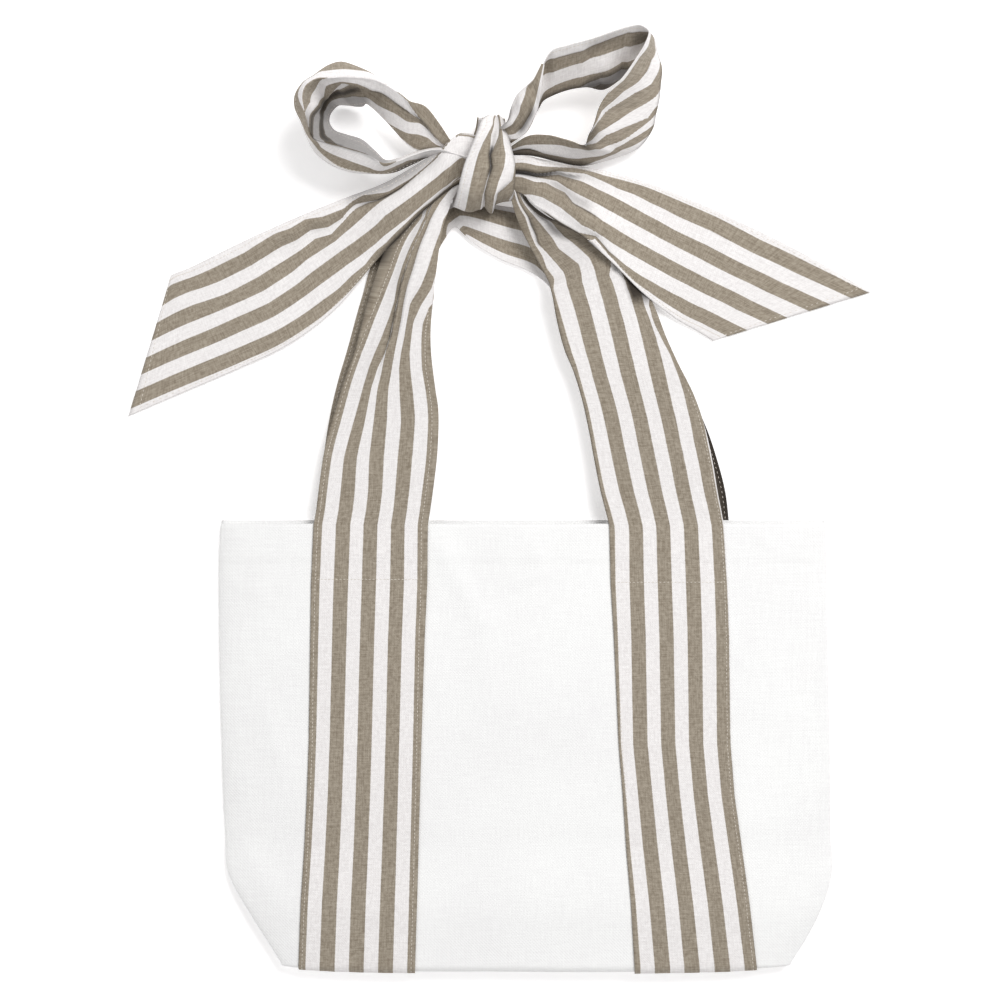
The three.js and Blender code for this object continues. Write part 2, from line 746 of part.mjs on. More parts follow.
// Joined solids back to one three.js geometry
function joined(solids) {
  const whole = solids.reduce((sum, next) => sum.add(next));
  const bodies = whole.decompose().sort((a, b) => b.volume() - a.volume());
  const mesh = bodies[0].getMesh();
  const geometry = new THREE.BufferGeometry();
  geometry.setAttribute("position", new THREE.BufferAttribute(mesh.vertProperties, 3));
  geometry.setIndex(new THREE.BufferAttribute(mesh.triVerts, 1));
  return geometry;
}

addPiece("body_front", frontPanel(), CANVAS_COLOUR, 0.9);
addPiece("body_back", backPanel(), CANVAS_COLOUR, 0.9);
addPiece("tie_left", joined(leftTie), CLOTH_COLOUR, 0.85);
addPiece("tie_right", joined(rightTie), CLOTH_COLOUR, 0.85);
addPiece("back_handle", joined([backHandle]), CLOTH_COLOUR, 0.85);

export default group;
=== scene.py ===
"""Looks of a canvas shopping bag whose striped cloth handles are tied in a bow.

The bag lies on its back on a pale floor and is seen from straight above. All
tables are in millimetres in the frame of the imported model: +Y runs from the
bag's foot to the bow and +Z up off the floor.
"""

from __future__ import annotations

import logging
import math
from dataclasses import dataclass, field
from enum import Enum

import bmesh
import bpy
import numpy as np
from mathutils import Matrix, Vector, noise

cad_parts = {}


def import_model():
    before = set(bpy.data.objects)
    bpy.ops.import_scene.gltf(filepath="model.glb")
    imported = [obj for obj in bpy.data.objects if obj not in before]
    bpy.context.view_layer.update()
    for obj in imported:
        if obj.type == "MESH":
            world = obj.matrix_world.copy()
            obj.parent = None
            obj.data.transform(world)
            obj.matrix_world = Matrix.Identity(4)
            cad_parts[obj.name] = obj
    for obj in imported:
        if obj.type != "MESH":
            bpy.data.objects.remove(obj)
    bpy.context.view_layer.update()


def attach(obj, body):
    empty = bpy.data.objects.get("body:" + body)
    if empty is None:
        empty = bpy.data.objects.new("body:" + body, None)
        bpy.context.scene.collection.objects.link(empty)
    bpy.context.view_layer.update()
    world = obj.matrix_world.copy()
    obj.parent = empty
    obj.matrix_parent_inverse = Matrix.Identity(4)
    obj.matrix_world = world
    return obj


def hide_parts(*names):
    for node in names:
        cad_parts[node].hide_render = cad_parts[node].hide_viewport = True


LOG = logging.getLogger("bag")
MM = 0.001
STRIP_WIDTH = 80.0
STRIPE_PAIR = 20.2  # mean width of a taupe and a white stripe, which the UV map is scaled to
OUT_LEFT, OUT_RIGHT = -100.0, 200.0  # places beyond either edge of every strip
FAR = 1e3  # farther than any shade reaches
HALVINGS = 26  # of the range in which a fold's height is sought

Row = tuple[float, ...]
Table = tuple[Row, ...]
Place = tuple[float, float, float]


class Side(Enum):
    """The two long edges of a strip of cloth, seen with the strip running away."""

    LEFT = "left"
    RIGHT = "right"


class Edge(Enum):
    """Which stripe runs along a stretch's left edge, as a share of a stripe pair."""

    TAUPE = 0.0
    WHITE = 0.5


# Small helpers


def ease(t: np.ndarray | float) -> np.ndarray | float:
    """Smooth step from 0 to 1, flat on either side."""
    t = np.clip(t, 0.0, 1.0)
    return t * t * (3 - 2 * t)


def unit(vectors: np.ndarray) -> np.ndarray:
    """Vectors of the last axis, made one long."""
    size = np.linalg.norm(vectors, axis=-1, keepdims=True)
    return vectors / np.maximum(size, 1e-9)


def object_of(
    shell: bmesh.types.BMesh, name: str, finish: bpy.types.Material
) -> bpy.types.Object:
    """Turns a bmesh into an object of the scene.

    Args:
        shell: The finished bmesh, which is freed.
        name: Name of the object and its mesh.
        finish: Its material.

    Returns:
        The object, unturned and unscaled at the origin.
    """
    mesh = bpy.data.meshes.new(name)
    shell.to_mesh(mesh)
    shell.free()
    mesh.materials.append(finish)
    made = bpy.data.objects.new(name, mesh)
    bpy.context.scene.collection.objects.link(made)
    return made


def curve(knots: np.ndarray, values: np.ndarray, at: np.ndarray) -> np.ndarray:
    """Smooth curve through a table's rows.

    Args:
        knots: Place of each row, rising.
        values: One row of numbers for each knot.
        at: Places to read the curve at.

    Returns:
        One row of numbers for each place.
    """
    last = len(knots) - 1
    slopes = np.diff(values, axis=0) / np.diff(knots)[:, None]
    tangents = np.empty_like(values)
    tangents[0], tangents[last] = slopes[0], slopes[-1]
    behind, ahead = np.diff(knots)[:-1, None], np.diff(knots)[1:, None]
    tangents[1:last] = (slopes[:-1] * ahead + slopes[1:] * behind) / (behind + ahead)
    gap = np.clip(np.searchsorted(knots, at, side="right") - 1, 0, last - 1)
    step = (knots[gap + 1] - knots[gap])[:, None]
    t = (at - knots[gap])[:, None] / step
    return (
        (2 * t**3 - 3 * t**2 + 1) * values[gap]
        + (t**3 - 2 * t**2 + t) * tangents[gap] * step
        + (3 * t**2 - 2 * t**3) * values[gap + 1]
        + (t**3 - t**2) * tangents[gap + 1] * step
    )


def ripple(points: np.ndarray, length: float, seed: float) -> np.ndarray:
    """Soft unevenness from -1 to 1.

    Args:
        points: Flat places, as rows of (along, across) in millimetres.
        length: How far apart the bumps are.
        seed: Picks one unevenness of many.

    Returns:
        One number for each place.
    """
    flat = points.reshape(-1, 2) / length
    read = [noise.noise(Vector((a, b, seed))) for a, b in flat]
    return np.array(read).reshape(points.shape[:-1])


# Cloth as a grid of points


@dataclass
class ClothGrid:
    """Middle surface of a sheet: rows along the cloth, columns across it.

    Attributes:
        points: Place of each grid point, in millimetres.
        along: Distance of each point along the cloth.
        across: Distance of each point across the cloth, from the left edge.
        stripes: Stripe pairs counted from the left edge, where stripes are woven in.
        shade: How much painted shade each point gets, 0 to 1, for lying in a crease or under
            other cloth.
    """

    points: np.ndarray
    along: np.ndarray
    across: np.ndarray
    stripes: np.ndarray | None = None
    shade: np.ndarray | None = None

    def spot(self, along: float, across: float) -> tuple[Vector, Vector]:
        """Point of the face and its normal.

        Args:
            along: Distance along the cloth.
            across: Distance across it.

        Returns:
            The point in millimetres, and the normal there.
        """
        rows = self.along[:, 0]
        i = int(np.clip(np.searchsorted(rows, along) - 1, 0, len(rows) - 2))
        s = float(np.clip((along - rows[i]) / max(rows[i + 1] - rows[i], 1e-6), 0, 1))
        here, there = (
            [np.interp(across, self.across[row], self.points[row, :, k]) for k in range(3)]
            for row in (i, i + 1)
        )
        j = int(np.clip(np.searchsorted(self.across[i], across), 1, self.across.shape[1] - 1))
        sideways = self.points[i, j] - self.points[i, j - 1]
        ahead = np.array(there) - np.array(here)
        point = Vector(here).lerp(Vector(there), s)
        return point, Vector(np.cross(sideways, ahead)).normalized()


@dataclass(frozen=True)
class SheetMaker:
    """Turns cloth grids into one thick mesh.

    Attributes:
        thickness: Thickness of the cloth in millimetres.
    """

    thickness: float

    def build(
        self, name: str, grids: list[ClothGrid], finish: bpy.types.Material
    ) -> bpy.types.Object:
        """Makes the mesh and its object.

        Args:
            name: Name of the piece.
            grids: Stretches of the one sheet.
            finish: Its material.

        Returns:
            The piece, with its thickness as a modifier.
        """
        shell = bmesh.new()
        uv = shell.loops.layers.uv.new("cloth")
        # UV map "shade": how much painted shade each point of the cloth gets
        deep = shell.loops.layers.uv.new("shade")
        for grid in grids:
            self._add(shell, uv, deep, grid)
        piece = object_of(shell, name, finish)
        piece.data.shade_smooth()
        wall = piece.modifiers.new("thickness", "SOLIDIFY")
        wall.thickness = self.thickness * MM
        wall.offset = 0.0
        return piece

    def _add(
        self,
        shell: bmesh.types.BMesh,
        uv: bmesh.types.BMLayerItem,
        deep: bmesh.types.BMLayerItem,
        grid: ClothGrid,
    ) -> None:
        """Adds one stretch of cloth to the mesh.

        Args:
            shell: The mesh.
            uv: Layer of the thread-true UV map, in metres along and across the cloth.
            deep: Layer whose first number is the painted shade.
            grid: The stretch.
        """
        rows, columns = grid.along.shape
        made = bmesh.ops.create_grid(shell, x_segments=columns - 1, y_segments=rows - 1, size=1.0)
        place = {}
        for vert in made["verts"]:
            i = round((vert.co.y + 1) / 2 * (rows - 1))
            j = round((vert.co.x + 1) / 2 * (columns - 1))
            place[vert] = (i, j)
            vert.co = Vector(grid.points[i, j]) * MM
        across = grid.across if grid.stripes is None else grid.stripes * STRIPE_PAIR
        shade = np.zeros_like(grid.along) if grid.shade is None else grid.shade
        for face in {face for vert in made["verts"] for face in vert.link_faces}:
            for loop in face.loops:
                i, j = place[loop.vert]
                loop[uv].uv = (grid.along[i, j] * MM, across[i, j] * MM)
                loop[deep].uv = (shade[i, j], 0.0)


@dataclass(frozen=True)
class Fold:
    """A soft, rounded fold along a strip of cloth.

    Attributes:
        at: Its middle, across the cloth.
        wide: Its width.
        up: Its height and side, over or under the cloth.
        start: Where along the strip it begins.
        end: Where it ends.
        ramp: Over what length it begins and ends.
    """

    at: float
    wide: float
    up: float
    start: float = -1000.0
    end: float = 3000.0
    ramp: float = 40.0

    def hold(self, along: float) -> float:
        """How far the fold holds at a distance along the strip, 0 to 1."""
        begun = ease((along - self.start) / self.ramp + 1)
        return float(begun * ease((self.end - along) / self.ramp + 1))


@dataclass(frozen=True)
class Tuck(Fold):
    """Cloth turned out of sight under a long edge, `wide` of it.

    Attributes:
        side: The edge that it is turned under.
    """

    at: float = 0.0
    wide: float = 0.0
    up: float = 0.0
    side: Side = Side.LEFT


@dataclass(frozen=True)
class Pleat(Fold):
    """Cloth laid away under a sharp line.

    `wide` is how much cloth is hidden, and `up` the height of the lap, over 0 where
    the left side lies on top.

    Attributes:
        soft: Width over which the line fades into the flat cloth.
        settle: Distance in which the upper side sinks back to the lower one.
    """

    soft: float = 0.8
    settle: float = 7.0

    def inside(self, q: np.ndarray, along: float) -> np.ndarray:
        """How far the cloth is hidden in the pleat.

        Args:
            q: Places across the cloth.
            along: Distance along the strip.

        Returns:
            From 0 to 1 for each place.
        """
        half = self.wide * self.hold(along) / 2
        return ease((half - np.abs(q - self.at)) / self.soft + 0.5) * ease(half)

    def lap(self, q: np.ndarray, along: float) -> np.ndarray:
        """How high the upper side stands over the lower one.

        Args:
            q: Places across the cloth.
            along: Distance along the strip.

        Returns:
            A height for each place.
        """
        half = self.wide * self.hold(along) / 2
        side = -math.copysign(1.0, self.up)
        past = side * (q - self.at)
        sinking = np.exp(-(past - half) / self.settle)
        rising = ease((past / max(half, 0.1) + 1) / 2)
        return abs(self.up) * self.hold(along) * np.where(past > half, sinking, rising)


@dataclass(frozen=True)
class Shade(Fold):
    """Shade painted into the cloth's colour beside a lap or under other cloth.

    Its line lies at `at` across the cloth. An `at` of OUT_LEFT or OUT_RIGHT is off the
    cloth and puts the line on that outline. `wide` is how far from the line the shade
    is seen, and `up` how dark it is, 0 to 1.

    Attributes:
        side: The only side of the line that is dark, if not both are.
        flood: Whether that side is dark throughout, and the other side fades.
        overlap: How far a one-sided shade reaches past its line.
    """

    side: Side | None = None
    flood: bool = False
    overlap: float = 0.3

    def depth(self, off: np.ndarray, along: float) -> np.ndarray:
        """How dark the cloth is beside the line.

        Args:
            off: Distances to the right of the line, as they are seen.
            along: Distance along the strip.

        Returns:
            From 0 to 1 for each distance.
        """
        reach = np.abs(off)
        if self.side:
            past = off if self.side is Side.RIGHT else -off
            one_sided = np.where(past > -self.overlap, reach, FAR)
            reach = np.maximum(-past, 0) if self.flood else one_sided
        return self.up * self.hold(along) * np.exp(-((reach / self.wide) ** 2))


@dataclass(frozen=True)
class Ribbon:
    """A stretch of striped strip, drawn from sections of its two outlines.

    Attributes:
        rows: For each section the left outline's x, y, z and the right outline's.
        folds: Rounded folds that take up the cloth's slack.
        tucks: Cloth turned under the outlines.
        pleats: Sharp laps in the cloth.
        shades: Shade painted into the colour in creases and under other cloth.
        drape: For each section the distance along, the number of the first stripe edge
            told, and where that edge and the next ones are seen, in hundredths of the width.
        first: Part of the strip's width that begins at the left outline.
        last: Part that ends at the right outline.
        press: Share of the folds' height that is left after pressing.
        edge: The stripe on the strip's left edge.
        first_stripe: Width of that edge stripe.
        stripe_pair: Width of a taupe and a white stripe here.
        columns: Grid steps across.
        step: Grid step along, in millimetres.
        uneven: Height of the soft unevenness of loose cloth.
        seed: Picks the unevenness.
        steepest: Steepest slope of a rounded fold, in radians.
        most_gain: Most that the folds' own heights may grow to take up slack.
        lowest: Lowest height over the floor.
        fineness: Steps of the section for each grid step across.
        hidden: Share of a pleat's cloth that goes out of sight.
        spread: Part of the grid steps across that goes by the cloth's own width, the
            rest going by how wide it is seen.
    """

    rows: Table
    folds: tuple[Fold, ...] = ()
    tucks: tuple[Tuck, ...] = ()
    pleats: tuple[Pleat, ...] = ()
    shades: tuple[Shade, ...] = ()
    drape: Table = ()
    first: float = 0.0
    last: float = STRIP_WIDTH
    press: float = 1.0
    edge: Edge = Edge.TAUPE
    first_stripe: float = 4.6
    stripe_pair: float = 20.3
    columns: int = 56
    step: float = 2.5
    uneven: float = 0.35
    seed: float = 0.0
    steepest: float = 1.75
    most_gain: float = 3.0
    lowest: float = 0.5
    fineness: int = 8
    hidden: float = 0.97
    spread: float = 0.15

    def stripes(self, across: np.ndarray) -> np.ndarray:
        """Stripe pairs counted at places across the strip: the first half of each is white."""
        return (across - self.first_stripe) / self.stripe_pair + self.edge.value

    def seen(self, q: np.ndarray, along: float, chord: float) -> np.ndarray:
        """Where places across the cloth are seen, as shares of the chord, by the drape's table.

        Args:
            q: Places across the cloth.
            along: Distance along the stretch.
            chord: Distance between the outlines.

        Returns:
            A share for each place.
        """
        half = self.stripe_pair / 2
        most = 1 + max(int(row[1]) + len(row) - 3 for row in self.drape)
        natural = half / chord
        rows = []
        for row in self.drape:
            told = [share / 100 for share in row[2:]]
            first = int(row[1])
            before = [told[0] - natural * k for k in range(first, 0, -1)]
            after = [told[-1] + natural * (k + 1) for k in range(most - first - len(told))]
            rows.append(before + told + after)
        table, places = np.array(rows), np.array([row[0] for row in self.drape])
        shares = np.array([np.interp(along, places, table[:, k]) for k in range(most)])
        edges = self.first_stripe + half * np.arange(most)
        under, beyond = STRIP_WIDTH / 2, STRIP_WIDTH
        edges = np.concatenate(([edges[0] - under], edges, [edges[-1] + beyond]))
        start = shares[0] - under / half * natural
        end = shares[-1] + beyond / half * natural
        return np.interp(q, edges, np.concatenate(([start], shares, [end])))

    def section(self, along: float, chord: float, span: tuple[float, float]) -> np.ndarray:
        """Cross-section of cloth laid over a shorter chord.

        Args:
            along: Distance along the stretch.
            chord: Distance between the outlines.
            span: Part of the cloth's width that lies between them.

        Returns:
            Rows of (share of the chord, height over it, place across the cloth, painted shade).
        """
        fine = self.columns * self.fineness
        if self.drape:
            wide = np.linspace(span[0], span[1], fine)
            share = self.seen(wide, along, chord)
            inner = wide[(share > 0) & (share < 1)]
            span = (float(inner[0]), float(inner[-1]))
        length = span[1] - span[0]
        q = span[0] + (np.arange(fine) + 0.5) / fine * length
        angle = np.zeros(fine)
        for fold in self.folds:
            d = (q - fold.at) / fold.wide
            angle -= fold.up * fold.hold(along) * d * np.exp(0.5 - d * d / 2)
        steep = max(float(np.abs(angle).max()), 1e-6)
        step = np.ones(fine)
        nodes = np.linspace(span[0], span[1], fine + 1)
        lap = np.zeros(fine + 1)
        for pleat in self.pleats:
            step *= 1 - self.hidden * pleat.inside(q, along)
            lap += pleat.lap(nodes, along)

        def reach(gain: float) -> float:
            """Share of the cloth's length that it spans with its folds grown so far."""
            across = step * np.cos(gain * angle)
            return float(np.hypot(across.sum(), (step * np.sin(gain * angle)).sum())) / fine

        low, high = 0.0, min(self.steepest / steep, self.most_gain)
        if steep < 0.01 or chord >= length * float(step.mean()):
            high = 0.0
        elif reach(high) < chord / length:
            for _ in range(HALVINGS):
                gain = (low + high) / 2
                if reach(gain) > chord / length:
                    low = gain
                else:
                    high = gain
        p = np.concatenate(([0.0], np.cumsum(step * np.cos(high * angle))))
        h = np.concatenate(([0.0], np.cumsum(step * np.sin(high * angle))))
        turn = math.atan2(h[-1], p[-1])
        size = chord / math.hypot(p[-1], h[-1])
        share = (p * math.cos(turn) + h * math.sin(turn)) * size / chord
        height = (h * math.cos(turn) - p * math.sin(turn)) * size * self.press + lap
        if self.drape:
            share = np.clip(self.seen(nodes, along, chord), 0.0, 1.0)
            share[0], share[-1] = 0.0, 1.0
        # painted shade of each node, by how far it is seen from each shade's line
        shade = np.zeros(fine + 1)
        for dark in self.shades:
            line = float(np.interp(dark.at, nodes, share))
            shade = np.maximum(shade, dark.depth((share - line) * chord, along))
        cost = np.concatenate(([0.0], np.cumsum(np.abs(np.diff(share)) + self.spread / fine)))
        pick = np.interp(np.linspace(0, cost[-1], self.columns + 1), cost, np.arange(fine + 1))
        lines = (share, height, nodes, shade)
        return np.stack([np.interp(pick, np.arange(fine + 1), line) for line in lines], axis=1)

    def grid(self) -> ClothGrid:
        """Lays the stretch out between its outlines.

        Returns:
            The stretch as a grid of points.
        """
        table = np.array(self.rows, float)
        centres = (table[:, :3] + table[:, 3:]) / 2
        steps = np.linalg.norm(np.diff(centres, axis=0), axis=1)
        knots = np.concatenate(([0.0], np.cumsum(steps)))
        stations = np.linspace(0, knots[-1], max(round(knots[-1] / self.step), 4) + 1)
        edges = curve(knots, table, stations)
        before = curve(knots, table, np.maximum(stations - 1, 0))
        after = curve(knots, table, np.minimum(stations + 1, knots[-1]))
        heading = unit((after[:, :3] + after[:, 3:]) - (before[:, :3] + before[:, 3:]))
        chords = edges[:, 3:] - edges[:, :3]
        square = chords - heading * np.sum(chords * heading, axis=1, keepdims=True)
        normals = unit(np.cross(chords, heading))
        points, across, shades = [], [], []
        for i, u in enumerate(stations):
            hidden = {side: 0.0 for side in Side}
            for tuck in self.tucks:
                hidden[tuck.side] += tuck.wide * tuck.hold(float(u))
            span = (self.first + hidden[Side.LEFT], self.last - hidden[Side.RIGHT])
            shape = self.section(float(u), float(np.linalg.norm(square[i])), span)
            points.append(edges[i, :3] + shape[:, :1] * chords[i] + shape[:, 1:2] * normals[i])
            across.append(shape[:, 2])
            shades.append(shape[:, 3])
        places, q = np.array(points), np.array(across)
        u = np.repeat(stations[:, None], self.columns + 1, axis=1)
        flat = np.stack((u, q * 1.6), axis=-1)  # loose cloth is rougher across than along
        lift = ripple(flat, 30, self.seed)
        lift += 0.5 * ripple(flat, 13, self.seed + 7)
        places += normals[:, None, :] * lift[:, :, None] * self.uneven
        places[:, :, 2] = np.maximum(places[:, :, 2], self.lowest)
        return ClothGrid(places, u, q, self.stripes(q), np.array(shades))


# Sewing


@dataclass
class Stitching:
    """Rows of machine stitches on one cloth.

    Attributes:
        inset: How far from the cloth's outline the hems are sewn.
        hem: Width of the hem, which shows where no more than that is turned out of sight.
        spacing: From one stitch to the next.
        length: Length of a stitch.
        width: Width of the thread.
        height: Thickness of the thread, pressed flat.
        sunk: How deep the stitch sits in the cloth's face.
        aim: How far ahead a stitch points.
        marks: Middle, direction and normal of each stitch.
    """

    inset: float = 2.3
    hem: float = 4.5
    spacing: float = 2.6
    length: float = 2.1
    width: float = 0.5
    height: float = 0.5 / 1.2
    sunk: float = 0.05
    aim: float = 1.2
    marks: list[tuple[Vector, Vector, Vector]] = field(default_factory=list)

    def lengthwise(
        self, grid: ClothGrid, side: Side, start: float, end: float, lift: float
    ) -> None:
        """Adds a row of stitches along a hem of the cloth, where the hem shows.

        Args:
            grid: The cloth.
            side: The edge whose hem is sewn.
            start: Where the row begins.
            end: Where it ends.
            lift: How far the cloth's face is over the grid.
        """
        for k in range(int((end - start) / self.spacing)):
            here = start + (k + 0.5) * self.spacing
            i = min(int(np.searchsorted(grid.along[:, 0], here)), len(grid.across) - 1)
            row = grid.across[i]
            edge, cut = (row[0], 0.0) if side is Side.LEFT else (row[-1], STRIP_WIDTH)
            if abs(edge - cut) > self.hem:
                continue
            across = edge + (self.inset if side is Side.LEFT else -self.inset)
            self._mark(grid, (here, across), (here + self.aim, across), lift)

    def crosswise(
        self, grid: ClothGrid, along: float, start: float, end: float, lift: float
    ) -> None:
        """Adds a row of stitches across the cloth.

        Args:
            grid: The cloth.
            along: How far along it the row is.
            start: Where across the row begins.
            end: Where it ends.
            lift: How far the cloth's face is over the grid.
        """
        for k in range(int((end - start) / self.spacing)):
            here = start + (k + 0.5) * self.spacing
            self._mark(grid, (along, here), (along, here + self.aim), lift)

    def _mark(self, grid: ClothGrid, here: Row, there: Row, lift: float) -> None:
        """Notes one stitch.

        Args:
            grid: The cloth.
            here: Its middle, along and across the cloth.
            there: The place that it points to.
            lift: How far the cloth's face is over the grid.
        """
        point, normal = grid.spot(*here)
        beyond, _ = grid.spot(*there)
        heading = (beyond - point).normalized()
        self.marks.append((point + normal * (lift - self.sunk), heading, normal))

    def build(self, name: str, finish: bpy.types.Material) -> bpy.types.Object:
        """Makes all noted stitches one mesh.

        Args:
            name: Name of the piece.
            finish: The thread's material.

        Returns:
            The piece.
        """
        thread = bmesh.new()
        for point, heading, normal in self.marks:
            side = normal.cross(heading).normalized()
            turn = Matrix((heading, side, heading.cross(side))).transposed().to_4x4()
            size = Matrix.Diagonal((self.length / 2, self.width / 2, self.height / 2, 1.0))
            place = Matrix.Translation(point) @ turn @ size
            bmesh.ops.create_icosphere(
                thread, subdivisions=1, radius=1.0, matrix=Matrix.Scale(MM, 4) @ place
            )
        bmesh.ops.recalc_face_normals(thread, faces=thread.faces)
        piece = object_of(thread, name, finish)
        piece.data.shade_smooth()
        return piece


# The canvas body


@dataclass(frozen=True)
class Crease:
    """A soft crease in a canvas panel.

    Attributes:
        start: Plan point where it begins.
        end: Plan point where it ends.
        wide: How far from its line it is felt.
        height: How high it stands.
        taper: Length over which it begins and ends.
    """

    start: tuple[float, float]
    end: tuple[float, float]
    wide: float
    height: float
    taper: float = 18.0

    def lift(self, x: np.ndarray, y: np.ndarray) -> np.ndarray:
        """Height that the crease adds.

        Args:
            x: Plan points' x.
            y: Plan points' y.

        Returns:
            A height for each point.
        """
        way = np.array(self.end) - np.array(self.start)
        length = float(np.hypot(*way))
        way = way / length
        dx, dy = x - self.start[0], y - self.start[1]
        down = dx * way[0] + dy * way[1]
        off = dx * way[1] - dy * way[0]
        ends = ease(down / self.taper + 0.5) * ease((length - down) / self.taper + 0.5)
        return self.height * ends * np.exp(-((off / self.wide) ** 2))


@dataclass(frozen=True)
class PanelRows:
    """How a panel's grid rows are spaced, from the mouth down and into the base.

    Attributes:
        step: From one row to the next down the panel.
        close: Height over the foot where the close rows of the turn begin.
        turn: Number of close rows.
        base: Number of rows in the base.
    """

    step: float
    close: float
    turn: int
    base: int

    def stops(self, straight: float, inside: float, depth: float) -> np.ndarray:
        """Where the rows lie.

        Args:
            straight: Distance from the mouth to the foot.
            inside: Distance from the mouth to the end of the turn.
            depth: Depth of the base.

        Returns:
            Their distances from the mouth.
        """
        down = np.arange(0, straight - self.close - 1, self.step)
        turn = np.linspace(straight - self.close, inside, self.turn)
        base = np.linspace(inside + self.step, inside + depth, self.base)
        return np.concatenate((down, turn, base))


@dataclass
class CanvasBody:
    """The bag: a domed front panel over a flat back panel, each with its half of the base.

    Attributes:
        mouth_y: The front panel's top edge.
        back_mouth_y: The back panel's top edge.
        foot_y: Where both panels turn into the base.
        gusset_y: How far up inside the bag the base reaches.
        seam_z: Height of the front panel at its side seams.
        foot_seam_z: The same at the foot.
        foot_low_z: Height of the front panel's half of the base.
        fold_turn: Length of cloth in the front panel's foot fold.
        back_fold_turn: The same of the back panel.
        back_fold_rise: Height of the back panel's foot fold.
        dome: Height of the belly over the seams.
        foot_dome: The same at the foot.
        thick_y: Below this the seams' height grows to that at the foot.
        thick_run: In which distance it does.
        full_y: Below this the belly's height sinks to that at the foot.
        full_run: In which distance it does.
        flatness: How flat the belly is across its middle.
        shoulder: How steeply it falls off to the side seams.
        base_slope: How steeply the front's half of the base rises inside the bag.
        gusset_inset: How far the base draws in at each side.
        hem_depth: Depth of the top hem.
        hem_relief: How far the doubled cloth of the hem stands out.
        hem_step: Width over which it does.
        canvas: Thickness of the canvas.
        clearance: Gap between the back panel and the floor.
        band_gap: From the panel's middle to a sewn band's.
        band_rise: How far the back handle lifts the back panel.
        band_slope: Width over which it does.
        front_columns: Grid points across the front panel.
        back_columns: Grid points across the back panel.
        crowding: How closely the front's grid points crowd towards the side seams.
        front_rows: Grid rows of the front panel.
        back_rows: Grid rows of the back panel.
        soft: For each soft unevenness of the front its length, seed and height.
        outline: Rows of y, left x and right x.
        back_bands: Rows of y, and left and right x of the back handle's two bands.
        creases: The front panel's soft creases.
    """

    mouth_y: float = 153.5
    back_mouth_y: float = 155.8
    foot_y: float = -148.0
    gusset_y: float = -100.0
    seam_z: float = 2.3
    foot_seam_z: float = 8.4
    foot_low_z: float = 6.4
    fold_turn: float = 14.0
    back_fold_turn: float = 4.0
    back_fold_rise: float = 2.4
    dome: float = 13.5
    foot_dome: float = 7.5
    thick_y: float = -60.0
    thick_run: float = 60.0
    full_y: float = -50.0
    full_run: float = 100.0
    flatness: int = 4
    shoulder: float = 0.6
    base_slope: float = 0.01
    gusset_inset: float = 14.0
    hem_depth: float = 25.0
    hem_relief: float = 0.35
    hem_step: float = 1.6
    canvas: float = 1.1
    clearance: float = 0.05
    band_gap: float = 1.15
    band_rise: float = 1.35
    band_slope: float = 7.0
    front_columns: int = 181
    back_columns: int = 141
    crowding: float = 0.95
    front_rows: PanelRows = PanelRows(step=2.4, close=7, turn=22, base=16)
    back_rows: PanelRows = PanelRows(step=4.0, close=3, turn=9, base=12)
    soft: Table = ((95, 3.0, 1.1), (38, 11.0, 0.35))
    outline: Table = (
        (-155, -163, 178),
        (-148, -167, 182),
        (-132, -177, 192),
        (-113, -189, 202),
        (-87, -203.5, 210.5),
        (-60, -206, 210),
        (0, -208.5, 209.5),
        (66, -210, 208),
        (128, -210.3, 207),
        (160, -209, 206.3),
    )
    back_bands: Table = (
        (-149, -155, -76, 78, 159),
        (0, -150.5, -73, 67, 146),
        (156, -149.5, -71, 63, 141.5),
    )
    creases: tuple[Crease, ...] = (
        Crease((-62, 146), (-40, 104), 7, 0.9),
        Crease((-42, 106), (-27, 84), 8, 0.8),
        Crease((-27, 90), (-25, 25), 12, 0.8),
        Crease((1, 148), (13, 119), 5, 0.7),
        Crease((12, 120), (-7, 112), 5, 0.6),
        Crease((154, 150), (171, 137), 4, 0.5),
        Crease((-207, 116), (-181, 105), 5, 0.6),
        Crease((-180, 35), (-168, -10), 7, 0.7),
        Crease((-200, -60), (-165, -110), 9, 0.8),
        Crease((168, -140), (200, -105), 8, 0.7),
    )

    def sides(self, y: np.ndarray) -> tuple[np.ndarray, np.ndarray]:
        """Outline of the body.

        Args:
            y: Plan heights, from the foot to the mouth.

        Returns:
            The left and the right outline's x at each height.
        """
        table = np.array(self.outline, float)
        read = curve(table[:, 0], table[:, 1:], np.clip(y, table[0, 0], table[-1, 0]))
        return read[:, 0], read[:, 1]

    def hem(self, stop: np.ndarray | float) -> np.ndarray | float:
        """How far the doubled cloth of the hem stands out, at distances from the mouth."""
        return self.hem_relief * ease((self.hem_depth - stop) / self.hem_step + 0.5)

    def height(self, x: np.ndarray, y: np.ndarray) -> np.ndarray:
        """Height of the front panel's middle surface over the floor.

        Args:
            x: Plan points' x.
            y: Plan points' y.

        Returns:
            A height for each point.
        """
        left, right = self.sides(y)
        across = np.clip((2 * x - left - right) / (right - left), -1, 1)
        foot = ease((self.thick_y - y) / self.thick_run)
        seam = self.seam_z + (self.foot_seam_z - self.seam_z) * foot
        sunk = ease((self.full_y - y) / self.full_run)
        rise = self.dome + (self.foot_dome - self.dome) * sunk
        inner = (1 - across**self.flatness) ** self.shoulder
        plan = np.stack((x, y), axis=-1)
        soft = sum(ripple(plan, length, seed) * height for length, seed, height in self.soft)
        for crease in self.creases:
            soft = soft + crease.lift(x, y)
        return seam + rise * inner + soft * inner**0.5

